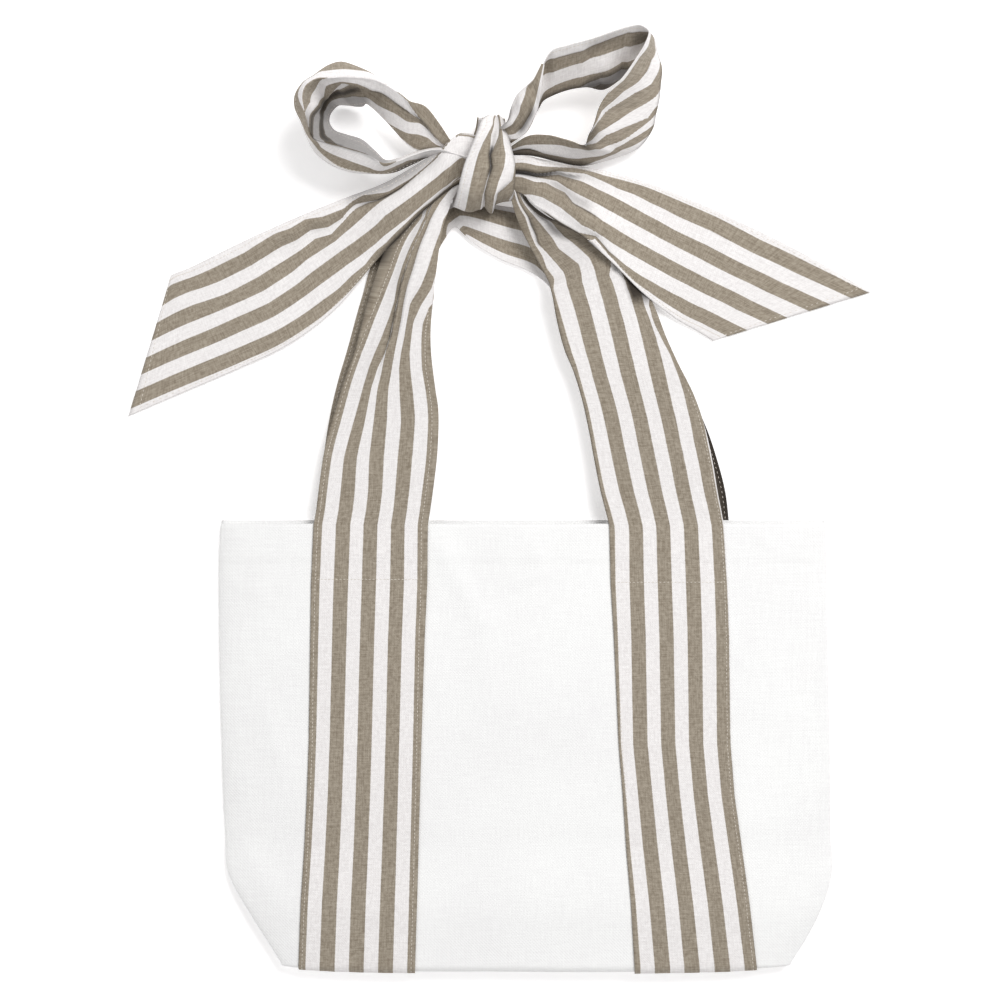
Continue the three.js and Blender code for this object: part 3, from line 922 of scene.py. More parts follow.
    def front(self, x: np.ndarray, along: np.ndarray) -> np.ndarray:
        """Points of the front panel.

        Args:
            x: Places across the bag.
            along: Distances from the mouth: down the front, round the foot, into the base.

        Returns:
            Rows of x, y, z.
        """
        straight = self.mouth_y - self.foot_y
        y = np.where(along <= straight, self.mouth_y - along, self.foot_y)
        top = self.height(x, y)
        radius = (top - self.foot_low_z) / 2
        turned = np.clip((along - straight) / self.fold_turn, 0, 1) * math.pi
        inward = np.maximum(along - straight - self.fold_turn, 0)
        y = y - radius * np.sin(turned) * (along > straight) + inward
        z = np.where(along > straight, top - radius + radius * np.cos(turned), top)
        return np.stack((x, y, z + inward * self.base_slope), axis=-1)

    def front_grid(self) -> ClothGrid:
        """Lays out the front panel with its half of the base.

        Returns:
            The panel, from the edge of its base up to the mouth.
        """
        straight = self.mouth_y - self.foot_y
        inside = straight + self.fold_turn
        depth = self.gusset_y - self.foot_y
        stops = self.front_rows.stops(straight, inside, depth)
        points, across = [], []
        for stop in stops:
            tucked = max(0.0, stop - inside)
            plan = self.mouth_y - stop if stop <= straight else self.foot_y + tucked
            inset = self.gusset_inset * tucked / depth
            (left,), (right,) = self.sides(np.array([plan]))
            s = np.linspace(-1, 1, self.front_columns)
            spread = np.sign(s) * np.sin(np.abs(s) * math.pi / 2) ** self.crowding
            x = (left + right) / 2 + spread * ((right - left) / 2 - inset)
            points.append(self.front(x, np.full_like(x, stop)))
            across.append(x)
        places = np.array(points)
        places[:, :, 2] += self.hem(stops)[:, None]
        down = np.repeat(-stops[:, None], self.front_columns, axis=1)
        return ClothGrid(places[::-1], down[::-1], np.array(across)[::-1])

    def back_grid(self) -> ClothGrid:
        """Lays out the back panel, raised where the back handle is sewn under it.

        Returns:
            The panel, from the edge of its base up to the mouth.
        """
        straight = self.back_mouth_y - self.foot_y
        inside = straight + self.back_fold_turn
        depth = self.gusset_y - self.foot_y
        stops = self.back_rows.stops(straight, inside, depth)
        low = self.canvas / 2 + self.clearance
        table = np.array(self.back_bands, float)
        points, across = [], []
        for stop in stops:
            tucked = max(0.0, stop - inside)
            y = self.back_mouth_y - stop if stop <= straight else self.foot_y + tucked
            inset = self.gusset_inset * tucked / depth
            (left,), (right,) = self.sides(np.array([y]))
            x = np.linspace(left + inset, right - inset, self.back_columns)
            z = np.full_like(x, low)
            for k in (1, 3):
                start, end = (np.interp(y, table[:, 0], table[:, n]) for n in (k, k + 1))
                begun = ease((x - start + self.band_slope) / (self.band_slope - 1))
                left_over = ease((end + self.band_slope - x) / (self.band_slope - 1))
                z += self.band_rise * begun * left_over
            turned = np.clip((stop - straight) / self.back_fold_turn, 0, 1) * math.pi
            radius = self.back_fold_rise / 2
            z = z + radius - radius * math.cos(turned)
            down = np.full_like(x, y - radius * math.sin(turned))
            points.append(np.stack((x, down, z), axis=-1))
            across.append(x)
        down = np.repeat(-stops[:, None], self.back_columns, axis=1)
        return ClothGrid(np.array(points)[::-1], down[::-1], np.array(across)[::-1])

    def build(self, canvas: bpy.types.Material) -> list[bpy.types.Object]:
        """Makes both panels.

        Args:
            canvas: Material of the canvas.

        Returns:
            The panels, riding on the frame.
        """
        maker = SheetMaker(self.canvas)
        front = maker.build("front_panel", [self.front_grid()], canvas)
        back = maker.build("back_panel", [self.back_grid()], canvas)
        for panel, node in ((front, "body_front"), (back, "body_back")):
            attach(panel, "root")
            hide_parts(node)
        return [front, back]


# The striped ties


@dataclass
class FrontTie:
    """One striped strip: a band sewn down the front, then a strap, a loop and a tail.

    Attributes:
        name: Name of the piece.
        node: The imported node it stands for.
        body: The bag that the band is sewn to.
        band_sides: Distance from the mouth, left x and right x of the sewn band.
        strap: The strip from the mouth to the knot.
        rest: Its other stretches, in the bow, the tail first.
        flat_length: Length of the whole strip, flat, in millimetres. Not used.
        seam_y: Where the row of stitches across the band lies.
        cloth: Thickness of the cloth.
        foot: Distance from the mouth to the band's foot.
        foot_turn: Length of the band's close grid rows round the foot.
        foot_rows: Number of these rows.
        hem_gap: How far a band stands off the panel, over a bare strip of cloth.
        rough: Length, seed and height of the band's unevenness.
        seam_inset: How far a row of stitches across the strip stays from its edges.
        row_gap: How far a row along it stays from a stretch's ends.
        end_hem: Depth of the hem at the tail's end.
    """

    name: str
    node: str
    body: CanvasBody
    band_sides: Table
    strap: Ribbon
    rest: tuple[Ribbon, ...]
    flat_length: float
    seam_y: float
    cloth: float = 0.8
    foot: float = 308.5
    foot_turn: float = 12.5
    foot_rows: int = 9
    hem_gap: float = 0.2
    rough: Row = (9, 21.0, 0.16)
    seam_inset: float = 3.0
    row_gap: float = 2.0
    end_hem: float = 4.0

    def band_grid(self) -> ClothGrid:
        """Lays the band on the front panel.

        Returns:
            The band, from the foot fold to the mouth.
        """
        turn, step = self.foot - self.foot_turn, self.strap.step
        stops = np.concatenate(
            (np.linspace(self.foot, turn, self.foot_rows), np.arange(turn - step, -0.1, -step))
        )
        length, seed, height = self.rough
        probe = 0.5  # how far off the panel's slope is read
        table = np.array(self.band_sides, float)
        points, across = [], []
        for stop in stops:
            left = np.interp(stop, table[:, 0], table[:, 1])
            right = np.interp(stop, table[:, 0], table[:, 2])
            laid = self.strap.section(-stop, right - left, (self.strap.first, self.strap.last))
            x = left + (right - left) * laid[:, 0]
            across.append(laid[:, 2])
            level = np.full_like(x, stop)
            here = self.body.front(x, level)
            before = self.body.front(x, np.full_like(x, max(stop - probe, 0)))
            after = self.body.front(x, level + probe)
            slope = self.body.front(x + probe, level) - here
            up = unit(np.cross(slope, before - after))
            lift = np.full_like(x, self.body.band_gap)
            lift += ripple(np.stack((level, x), axis=-1), length, seed) * height
            hem = self.hem_gap + float(self.body.hem(stop))
            points.append(here + up * (lift + hem)[:, None])
        along = np.repeat((stops[0] - stops)[:, None], self.strap.columns + 1, axis=1)
        q = np.array(across)
        return ClothGrid(np.array(points), along, q, self.strap.stripes(q), np.zeros_like(q))

    def whole_strap(self) -> ClothGrid:
        """Joins band and strap.

        Returns:
            Both as one stretch of cloth, from the bag's foot to the knot.
        """
        band, strap = self.band_grid(), self.strap.grid()
        gap = float(np.linalg.norm(strap.points[0].mean(0) - band.points[-1].mean(0)))
        reach = band.along[-1, 0]
        parts = [(band.points, band.along, band.across, band.shade)]
        for share in (0.25, 0.5, 0.75):
            points, across, shade = (
                a[-1:] * (1 - share) + b[:1] * share
                for a, b in (
                    (band.points, strap.points),
                    (band.across, strap.across),
                    (band.shade, strap.shade),
                )
            )
            parts.append((points, band.along[-1:] + gap * share, across, shade))
        parts.append((strap.points, strap.along + reach + gap, strap.across, strap.shade))
        points, along, across, shade = (np.concatenate([p[k] for p in parts]) for k in range(4))
        return ClothGrid(points, along, across, self.strap.stripes(across), shade)

    def build(
        self, cloth: bpy.types.Material, thread: bpy.types.Material
    ) -> list[bpy.types.Object]:
        """Makes the tie and its stitches.

        Args:
            cloth: Material of the striped cloth.
            thread: Material of the sewing thread.

        Returns:
            The pieces, riding on the frame.
        """
        strap = self.whole_strap()
        grids = [strap] + [ribbon.grid() for ribbon in self.rest]
        piece = SheetMaker(self.cloth).build(self.name, grids, cloth)
        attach(piece, "root")
        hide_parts(self.node)
        sewing = Stitching()
        face = self.cloth / 2
        for side in Side:
            end = strap.along[-1, 0] - 2 * self.row_gap
            sewing.lengthwise(strap, side, self.row_gap, end, face)
        seam = self.foot - (self.body.mouth_y - self.seam_y)
        start, end = self.seam_inset, STRIP_WIDTH - self.seam_inset
        sewing.crosswise(strap, seam, start, end, face)
        for grid in grids[1:]:
            for side in Side:
                stop = grid.along[-1, 0] - self.row_gap
                sewing.lengthwise(grid, side, self.row_gap, stop, face)
        tail = grids[1]
        sewing.crosswise(tail, tail.along[-1, 0] - self.end_hem, start, end, face)
        stitches = sewing.build(self.name + "_stitches", thread)
        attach(stitches, "root")
        return [piece, stitches]


@dataclass
class BackHandle:
    """One striped strip sewn down both sides of the back panel and free between them.

    Attributes:
        ribbon: The whole strip.
        cloth: Thickness of the cloth.
        flat_length: Length of the strip, flat, in millimetres. Not used.
        sewn: Length at each end that is sewn to the panel's underside, out of sight.
    """

    ribbon: Ribbon
    cloth: float = 0.8
    flat_length: float = 1130.0
    sewn: float = 300.0

    def build(
        self, cloth: bpy.types.Material, thread: bpy.types.Material
    ) -> list[bpy.types.Object]:
        """Makes the handle and its stitches.

        Args:
            cloth: Material of the striped cloth.
            thread: Material of the sewing thread.

        Returns:
            The pieces, riding on the frame.
        """
        grid = self.ribbon.grid()
        piece = SheetMaker(self.cloth).build("back_handle_cloth", [grid], cloth)
        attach(piece, "root")
        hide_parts("back_handle")
        sewing = Stitching()
        for side in Side:
            end = grid.along[-1, 0] - self.sewn
            sewing.lengthwise(grid, side, self.sewn, end, self.cloth / 2)
        stitches = sewing.build("back_handle_stitches", thread)
        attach(stitches, "root")
        return [piece, stitches]


# The strips' tables


# The left tie's strap, from the bag's mouth to the knot
LEFT_STRAP = Ribbon(
    rows=(
        (-142.8, 163, 15.9, -64.8, 163, 17.4),
        (-140.8, 180, 15, -62.5, 180, 16),
        (-137.5, 203.5, 12.5, -60, 203.5, 14),
        (-131.5, 227.5, 11, -59.5, 231.5, 12),
        (-125, 249.5, 11, -61.5, 245.5, 12),
        (-116.5, 273.5, 11.5, -64.5, 271.5, 12),
        (-110, 299, 11, -64.5, 291, 13),
        (-102, 325, 10.5, -61.5, 321, 14),
        (-92.5, 348, 10.5, -57.5, 350.5, 15),
        (-77, 370, 11, -53, 366, 15),
        (-60, 390, 12, -47.5, 379, 14),
        (-38, 407, 13, -30, 396, 13),
    ),
    shades=(
        Shade(at=OUT_LEFT, wide=1.4, up=0.5, start=80, end=150),
        Shade(at=OUT_LEFT, wide=6, up=0.95, start=176, end=222, ramp=18),
        Shade(at=25.4, wide=2.2, up=0.55, start=122, end=158, ramp=22, side=Side.LEFT),
        Shade(at=45.4, wide=1, up=0.3, start=130, end=200, ramp=22),
        Shade(at=40, wide=90, up=0.05, start=20, ramp=60),
    ),
    drape=(
        (-302, 0, 6.3, 18.4, 31.4, 43.5, 56.3, 68.6, 81.4, 93.5),
        (-150, 0, 6.8, 18.8, 31.5, 43.4, 56.2, 68.4, 80.6, 92.7),
        (-6, 0, 8, 19.9, 32.5, 44, 56.2, 68.1, 80, 91.2),
        (12, 0, 7.8, 19.6, 32.1, 43.7, 56.1, 67.3, 79.6, 90.8),
        (36, 0, 7.7, 18.6, 30, 40.8, 53.6, 65.8, 78.5, 90.8),
        (60, 0, 8.9, 21, 31.7, 39.9, 52.4, 65.6, 78.4, 90.6),
        (84, 0, 9.2, 23.2, 31.6, 38.1, 49.7, 61.6, 75.9, 89.6),
        (98, 0, 9.7, 24.8, 34.6, 39.6, 51.3, 59.8, 73.3, 87.5),
        (108, 0, 10.6, 27.8, 41, 41, 52.8, 60.7, 72.2, 87.4),
        (120, 0, 14.4, 33.8, 45.5, 44.5, 54.9, 63.4, 73, 87.5),
        (132, 0, 18.7, 39, 46.8, 45.3, 56.8, 64.5, 74.1, 88.2),
        (144, 0, 22.9, 42.4, 48, 46.5, 56.9, 66.1, 83, 96),
        (156, 0, 26.2, 40.8, 47.5, 46.5, 58.4, 79.2, 96.3),
        (168, 0, 29.1, 42.2, 50, 49, 62.2, 86.8, 101.3),
        (192, 0, 33.6, 51.5, 58.5, 57.5, 68.1, 97.2),
        (204, 0, 41.3, 49.6, 57, 56, 66.1, 96.3),
        (216, 0, 26.8, 34.3, 48, 47, 66.8, 104.1),
        (234, 0, 46, 54.4, 62, 61, 75.1, 110),
    ),
    pleats=(
        Pleat(at=30.5, wide=10, up=-2.6, start=112, ramp=30),
    ),
    folds=(
        Fold(at=20, wide=7, up=0.3, start=120, ramp=60),
        Fold(at=50, wide=7, up=0.3, start=150, ramp=60),
    ),
    press=0.6,
    first_stripe=5.6,
    stripe_pair=19.9,
    columns=64,
    seed=1.0,
)

# Its tail, from the knot out to the slanted end
LEFT_TAIL = Ribbon(
    rows=(
        (-30, 390, 13, -27, 416, 13),
        (-45.5, 385.5, 15, -41.5, 421, 16),
        (-65, 371, 16, -60, 407.5, 18),
        (-83.5, 352.5, 14, -96.5, 386.5, 14),
        (-103, 333, 8.5, -124.5, 376.5, 9),
        (-127.5, 304, 4.5, -155.5, 364.5, 5.5),
        (-161.5, 277.5, 3, -194.5, 347.5, 3.5),
        (-196.5, 260.5, 2, -229.5, 330.5, 2.5),
        (-236, 243.5, 1.5, -243, 325, 2),
        (-273.5, 227.5, 0.8, -244.5, 322.5, 0.8),
    ),
    drape=(
        (0, 1, 11, 15.5, 52, 92, 94, 95, 96),
        (16, 1, 11, 15.5, 52, 92, 94, 95, 96),
        (24, 1, 6.5, 12, 46.5, 102, 103, 104, 105),
        (32, 1, 6.5, 14.5, 49, 98, 99, 100, 101),
        (40, 1, 7, 14.5, 48, 86, 87, 87.5, 88.5),
        (48, 1, 9.5, 15, 46.5, 80.5, 81.5, 82, 83),
        (56, 1, 10.5, 15.5, 46, 76.5, 77.5, 78, 79.5),
        (64, 1, 11, 15.7, 46, 73, 74.5, 75, 80),
        (72, 1, 11, 18, 46.5, 73, 75, 75.5, 80),
        (80, 1, 11, 19, 46.5, 71.5, 77, 77.5, 88),
        (88, 1, 9.5, 20, 42.5, 67.5, 80.5, 83, 94),
        (96, 0, -1, 11, 19.5, 41.3, 63, 80.8, 87, 91),
        (104, 0, 0, 9.5, 21.2, 41.8, 60, 76.3, 81, 86),
        (108, 0, 0.4, 8.4, 22.2, 42.1, 59.6, 73, 76.7, 87.2),
        (120, 0, 1.5, 12.9, 26.5, 44.3, 57.6, 66.9, 76.1, 88.8),
        (132, 0, 3, 13.9, 29.2, 45.5, 58.6, 72.6, 82.9, 94.6),
        (144, 0, 3.6, 15.8, 30, 45.2, 58.3, 69.7, 80.1, 92.3),
        (156, 0, 4, 16.1, 29.5, 43.3, 55.3, 68.6, 81.2, 94.1),
        (180, 0, 4.4, 16.4, 28.4, 41.3, 52.9, 66.1, 78, 90.4),
        (204, 0, 4.6, 17.3, 29.6, 42.6, 54, 65.5, 77.8, 90.9),
        (228, 0, 5, 17.9, 29.6, 42.6, 54.9, 68.4, 80.4, 91.8),
        (252, 0, 5.7, 18.4, 30.2, 42.8, 55, 68.2, 80.1, 92.5),
    ),
    shades=(
        Shade(at=OUT_LEFT, wide=2.4, up=0.93, end=84, ramp=26),
        Shade(at=79, wide=7, up=0.5, start=42, end=92, ramp=14),
        Shade(at=54, wide=1.3, up=0.6, start=60, end=88, ramp=14),
    ),
    pleats=(
        Pleat(at=55, wide=22, up=1.6, end=40, ramp=50),
    ),
    folds=(
        Fold(at=37, wide=7, up=0.3, end=60, ramp=60),
        Fold(at=72, wide=5, up=0.3, start=70, end=150, ramp=60),
    ),
    press=0.7,
    columns=64,
    edge=Edge.WHITE,
    first_stripe=4.2,
    stripe_pair=19.9,
    seed=2.0,
)

# Its loop, from the knot round and back
LEFT_LOOP = Ribbon(
    rows=(
        (-37.5, 403, 20, -38, 407, 12),
        (-61.5, 408, 23, -61.5, 410.5, 13),
        (-76, 404, 27, -75.5, 407.5, 14),
        (-87.5, 399, 31, -86.5, 403.5, 14),
        (-96.5, 397.5, 34, -95.5, 402, 14),
        (-107, 403, 37, -103.5, 409, 13),
        (-120.5, 407, 40, -112.5, 417, 10),
        (-133, 410, 43, -122.5, 420.5, 6),
        (-143.5, 413.5, 46, -131.5, 424, 4),
        (-146.5, 423.5, 48, -135, 429.5, 3),
        (-148.5, 432, 50, -134.5, 434.5, 3),
        (-149.5, 440.5, 51, -132, 438.5, 3),
        (-147.5, 446.5, 51, -128.5, 441.5, 3),
        (-141, 451.5, 50, -122, 441.5, 3),
        (-131.5, 452.5, 49, -116, 440.5, 4),
        (-122, 453.5, 47, -111.5, 440.5, 6),
        (-111.5, 453.5, 44, -109, 442, 9),
        (-102, 452.5, 41, -103.5, 437.5, 13),
        (-94, 449.5, 37, -96.5, 430, 16),
        (-85.5, 445, 33, -89.5, 422.5, 15),
        (-78, 440, 30, -81.5, 414, 13),
        (-68, 437, 27, -73.5, 409, 12),
        (-58, 425.5, 22, -65.5, 408.5, 11),
        (-50.5, 415, 17, -58, 409.5, 10),
        (-36, 408, 14, -36, 402.5, 9),
    ),
    drape=(
        (0, 7, -6, 106),
        (81, 7, -6, 106),
        (90, 7, -3, 106),
        (99, 6, 2, 32, 106),
        (108, 4, -8, 10.5, 37.5, 60.5, 106),
        (117, 3, -10, 11.5, 32.5, 58.5, 72.5, 106),
        (126, 2, -2, 24.5, 40.5, 58.5, 73.5, 80.5, 106),
        (135, 1, 2.5, 7.5, 24.5, 46.5, 58.5, 63.5, 79.5, 106),
        (144, 2, -2, 2.5, 16.5, 40.5, 49.5, 72.5, 106),
        (153, 3, -4, 11.5, 16.5, 33.5, 63.5, 108),
        (160, 3, -4, 13, 27.5, 28.5, 78, 106),
        (171, 3, -4, 28.5, 28.8, 29.1, 80.5, 106),
        (180, 3, -6, 29.3, 29.6, 29.9, 67.5, 102),
        (189, 3, 2.3, 30.1, 30.4, 30.7, 57.2, 92.5, 104),
        (198, 3, 3.4, 25.7, 26, 26.3, 51.3, 78, 97.4),
        (207, 3, 30, 30.5, 30.8, 31.1, 41, 66.4, 98.4),
        (216, 3, 40, 40.5, 40.8, 41.1, 42.3, 61.5, 96),
        (225, 3, 47, 47.5, 48, 48.5, 49, 70.2, 96.3),
    ),
    shades=(
        Shade(at=OUT_LEFT, wide=200, up=0.6, start=62, end=112, ramp=14),
        Shade(at=OUT_LEFT, wide=8, up=0.8, start=88, end=97, ramp=7),
        Shade(at=65, wide=9, up=0.93, start=99, end=120, ramp=9),
        Shade(at=65, wide=4, up=0.92, start=118, end=154, ramp=10),
        Shade(at=45, wide=4.5, up=0.88, start=106, end=130, ramp=10),
        Shade(at=50, wide=3, up=0.6, start=116, end=130, ramp=12, side=Side.RIGHT, flood=True),
        Shade(
            at=70, wide=2, up=0.32, start=112, end=146, ramp=10, side=Side.RIGHT, flood=True,
        ),
        Shade(
            at=70, wide=2, up=0.55, start=146, end=160, ramp=10, side=Side.RIGHT, flood=True,
        ),
        Shade(at=OUT_RIGHT, wide=1, up=0.5, start=12, end=54, ramp=14),
        Shade(at=40, wide=1.3, up=0.4, start=168, end=214, ramp=12),
        Shade(at=OUT_RIGHT, wide=2.5, up=0.7, start=218, ramp=10),
    ),
    folds=(
        Fold(at=44, wide=6, up=0.6, start=90, end=160, ramp=20),
        Fold(at=60, wide=6, up=-0.5, start=90, end=160, ramp=20),
    ),
    pleats=(
        Pleat(at=31, wide=5, up=1.5, start=206, ramp=14),
        Pleat(at=64, wide=5, up=1, start=206, ramp=14),
    ),
    first=20,
    last=100,
    press=0.6,
    edge=Edge.WHITE,
    first_stripe=0.0,
    stripe_pair=20.0,
    columns=60,
    step=2.0,
    uneven=0.5,
    seed=3.0,
)

# The loop's upper cloth, turned over outwards
LEFT_TURNED = Ribbon(
    rows=(
        (-38, 399, 14, -37.5, 403, 20),
        (-61.5, 405.5, 16, -61.5, 408, 23),
        (-76.5, 399, 18, -76, 404, 27),
        (-91, 392.5, 21, -87.5, 399, 31),
        (-105.5, 391.5, 25, -96.5, 397.5, 34),
        (-119.5, 392.5, 27, -107, 403, 37),
        (-132, 397, 29, -120.5, 407, 40),
        (-142.5, 405, 32, -133, 410, 43),
        (-148, 415, 34, -143.5, 413.5, 46),
        (-151.5, 425, 36, -146.5, 423.5, 48),
        (-155.5, 434.5, 38, -148.5, 432, 50),
        (-155, 443, 40, -149.5, 440.5, 51),
        (-150, 450.5, 41, -147.5, 446.5, 51),
        (-143, 455.5, 39, -141, 451.5, 50),
        (-133.5, 463, 34, -131.5, 452.5, 49),
        (-125, 466, 32, -122, 453.5, 47),
        (-113, 462.5, 32, -111.5, 453.5, 44),
        (-102.5, 457.5, 32, -102, 452.5, 41),
        (-93.5, 451, 31, -94, 449.5, 37),
    ),
    drape=(
        (0, 1, -10, 112),
        (27, 1, -8, 112),
        (36, 0, 1, 36, 112),
        (45, 0, -6, 70, 112),
        (54, 0, 5, 64, 104),
        (63, 0, 5.5, 29, 72, 100),
        (72, 0, 14, 47, 106),
        (81, 0, 10.5, 48, 100),
        (90, 0, 11.5, 50.5, 97),
        (99, 0, 19.5, 48, 97),
        (108, 0, 29.5, 51, 94),
        (117, 0, 46, 104, 130),
        (127, 0, 9, 104, 130),
        (137, 0, 3, 104, 130),
        (147, 0, -12, 46, 104),
        (157, 0, -14, 16, 104),
        (167, 0, -14, 14, 104),
        (172, 0, -14, 42, 104),
        (177, 0, -14, 53, 104),
        (182, 0, -14, 56, 104),
        (187, 0, -14, 54, 104),
        (192, 0, -14, 47.5, 104),
        (197, 0, -18, 34, 104),
        (202, 0, -22, 15, 104),
        (207, 0, -26, 0, 104),
    ),
    shades=(
        Shade(at=OUT_LEFT, wide=5, up=0.9, start=34, end=50, ramp=8),
        Shade(at=50, wide=1, up=0.4, start=20, end=32, ramp=8),
        Shade(at=OUT_RIGHT, wide=1.6, up=0.55, start=78, end=118, ramp=12),
    ),
    last=30,
    press=0.6,
    edge=Edge.WHITE,
    first_stripe=3.0,
    stripe_pair=20.0,
    columns=20,
    step=2.0,
    uneven=0.3,
    seed=10.0,
)


def left_tie(body: CanvasBody) -> FrontTie:
    """The left tie: its strap, tail and loop, and the loop's turned upper cloth.

    Args:
        body: The bag that it is sewn to.

    Returns:
        The tie.
    """
    return FrontTie(
        name="left_tie",
        node="tie_left",
        body=body,
        band_sides=(
            (0, -144.6, -66.4),
            (41, -146.3, -66.9),
            (78, -146.8, -68.7),
            (150, -147.9, -70.9),
            (186, -149.2, -71.9),
            (222, -151, -72.9),
            (258, -153.2, -73.8),
            (308.5, -155.2, -75.4),
        ),
        strap=LEFT_STRAP,
        rest=(LEFT_TAIL, LEFT_LOOP, LEFT_TURNED),
        flat_length=1130,
        seam_y=115.5,
    )


# The right tie's strap, from the bag's mouth to the knot
RIGHT_STRAP = Ribbon(
    rows=(
        (54.6, 163, 17.5, 133.8, 163, 16),
        (51.8, 174, 17, 131.7, 174, 15.2),
        (47.5, 195, 16, 128.3, 195, 14),
        (43.3, 218, 15, 123, 219.5, 12.5),
        (38.4, 240, 14.5, 115.2, 242.5, 11.5),
        (32.8, 258, 14.5, 105.5, 262, 11),
        (26.6, 273, 15, 97, 281, 8),
        (21.5, 292.5, 16.5, 90, 300, 5.5),
        (18.5, 309, 19, 80, 321, 5),
        (17, 315, 19.5, 70, 333, 5),
        (16, 319, 14, 60, 342, 6),
        (3.5, 342.5, 12.5, 40, 353, 9),
        (-5, 360, 15, 13.5, 364.5, 14),
        (-9, 372.5, 16, 2, 374, 16),
        (-11, 384, 16, -3, 385, 16),
    ),
    drape=(
        (-302, 0, 5, 16.7, 29.3, 40.8, 53.4, 65.6, 78.3, 90.2, 102),
        (-150, 0, 2.4, 13, 26.1, 38.1, 50.8, 62.9, 75.8, 88, 100),
        (-6, 0, 4.9, 17.4, 29.5, 41.1, 53.2, 65.1, 77.6, 89.5, 99.4),
        (12, 0, 3.8, 16.3, 28.7, 40.5, 52.9, 64.8, 77.3, 88.7, 99.2),
        (48, 0, 3.6, 15.4, 27.9, 39.6, 52.2, 64, 76.3, 87.9, 99.1),
        (72, 0, 3.8, 15.3, 28.4, 40.4, 53.2, 65.1, 77.9, 90.3, 101),
        (84, 0, 3.6, 15.4, 28.7, 40.9, 54.4, 66.6, 80.2, 92.5, 104),
        (96, 0, 4.2, 16.1, 29.8, 42.8, 57, 70, 84.2, 95.2, 104),
        (108, 0, 5.5, 18.3, 32.2, 45.8, 60.3, 73.7, 87.9, 96.6, 104),
        (120, 0, 6.5, 20.1, 34.9, 48.8, 63.4, 77, 90.7, 95, 103),
        (132, 0, 6.1, 20.6, 35.6, 49.9, 64.9, 78.6, 91, 93),
        (144, 0, 5.2, 20.4, 35.9, 50.6, 65.6, 79.6, 91, 95),
        (156, 0, 3.3, 18.9, 35.5, 51.3, 67.3, 81, 93),
        (166, 0, 3.2, 19.6, 38, 55.6, 71.1, 86, 100),
        (180, 0, 9.5, 25.2, 49.8, 67, 100),
        (188, 0, 7, 23.5, 46.3, 67.3, 98),
        (196, 0, 11.5, 20.3, 41.5, 67.6, 96),
        (204, 0, 11, 15.5, 46, 67.8, 95),
        (212, 0, 15.5, 25, 50.5, 76.4, 104),
        (220, 0, 24, 33, 58.7, 93, 110),
        (228, 0, 34.5, 45.5, 63.5, 84.5, 110),
    ),
    shades=(
        Shade(
            at=53, wide=3, up=0.95, start=152, end=162, ramp=12, side=Side.RIGHT, flood=True,
        ),
        Shade(
            at=44.5, wide=2, up=0.95, start=172, end=182, ramp=8, side=Side.RIGHT, flood=True,
        ),
        Shade(
            at=43.5, wide=2, up=0.95, start=188, end=198, ramp=8, side=Side.RIGHT, flood=True,
        ),
        Shade(at=42, wide=2, up=0.95, start=204, end=214, ramp=8, side=Side.RIGHT, flood=True),
        Shade(
            at=36, wide=2.5, up=0.9, start=222, end=240, ramp=8, side=Side.RIGHT, flood=True,
        ),
        Shade(at=26, wide=7, up=0.4, start=210, end=226, ramp=10),
        Shade(at=12, wide=1.2, up=0.6, start=206, end=224, ramp=10),
        Shade(at=OUT_LEFT, wide=1, up=0.4, start=20),
        Shade(at=40, wide=90, up=0.06, start=20, ramp=60),
        Shade(at=40, wide=90, up=0.17, start=190, ramp=60),
    ),
    pleats=(
        Pleat(at=7, wide=8, up=1.5, start=196, ramp=20),
    ),
    folds=(
        Fold(at=30, wide=6, up=-0.4, start=205, ramp=30),
        Fold(at=18, wide=6, up=0.3, start=185, ramp=20),
    ),
    press=0.7,
    first_stripe=2.4,
    stripe_pair=19.2,
    columns=64,
    seed=4.0,
)

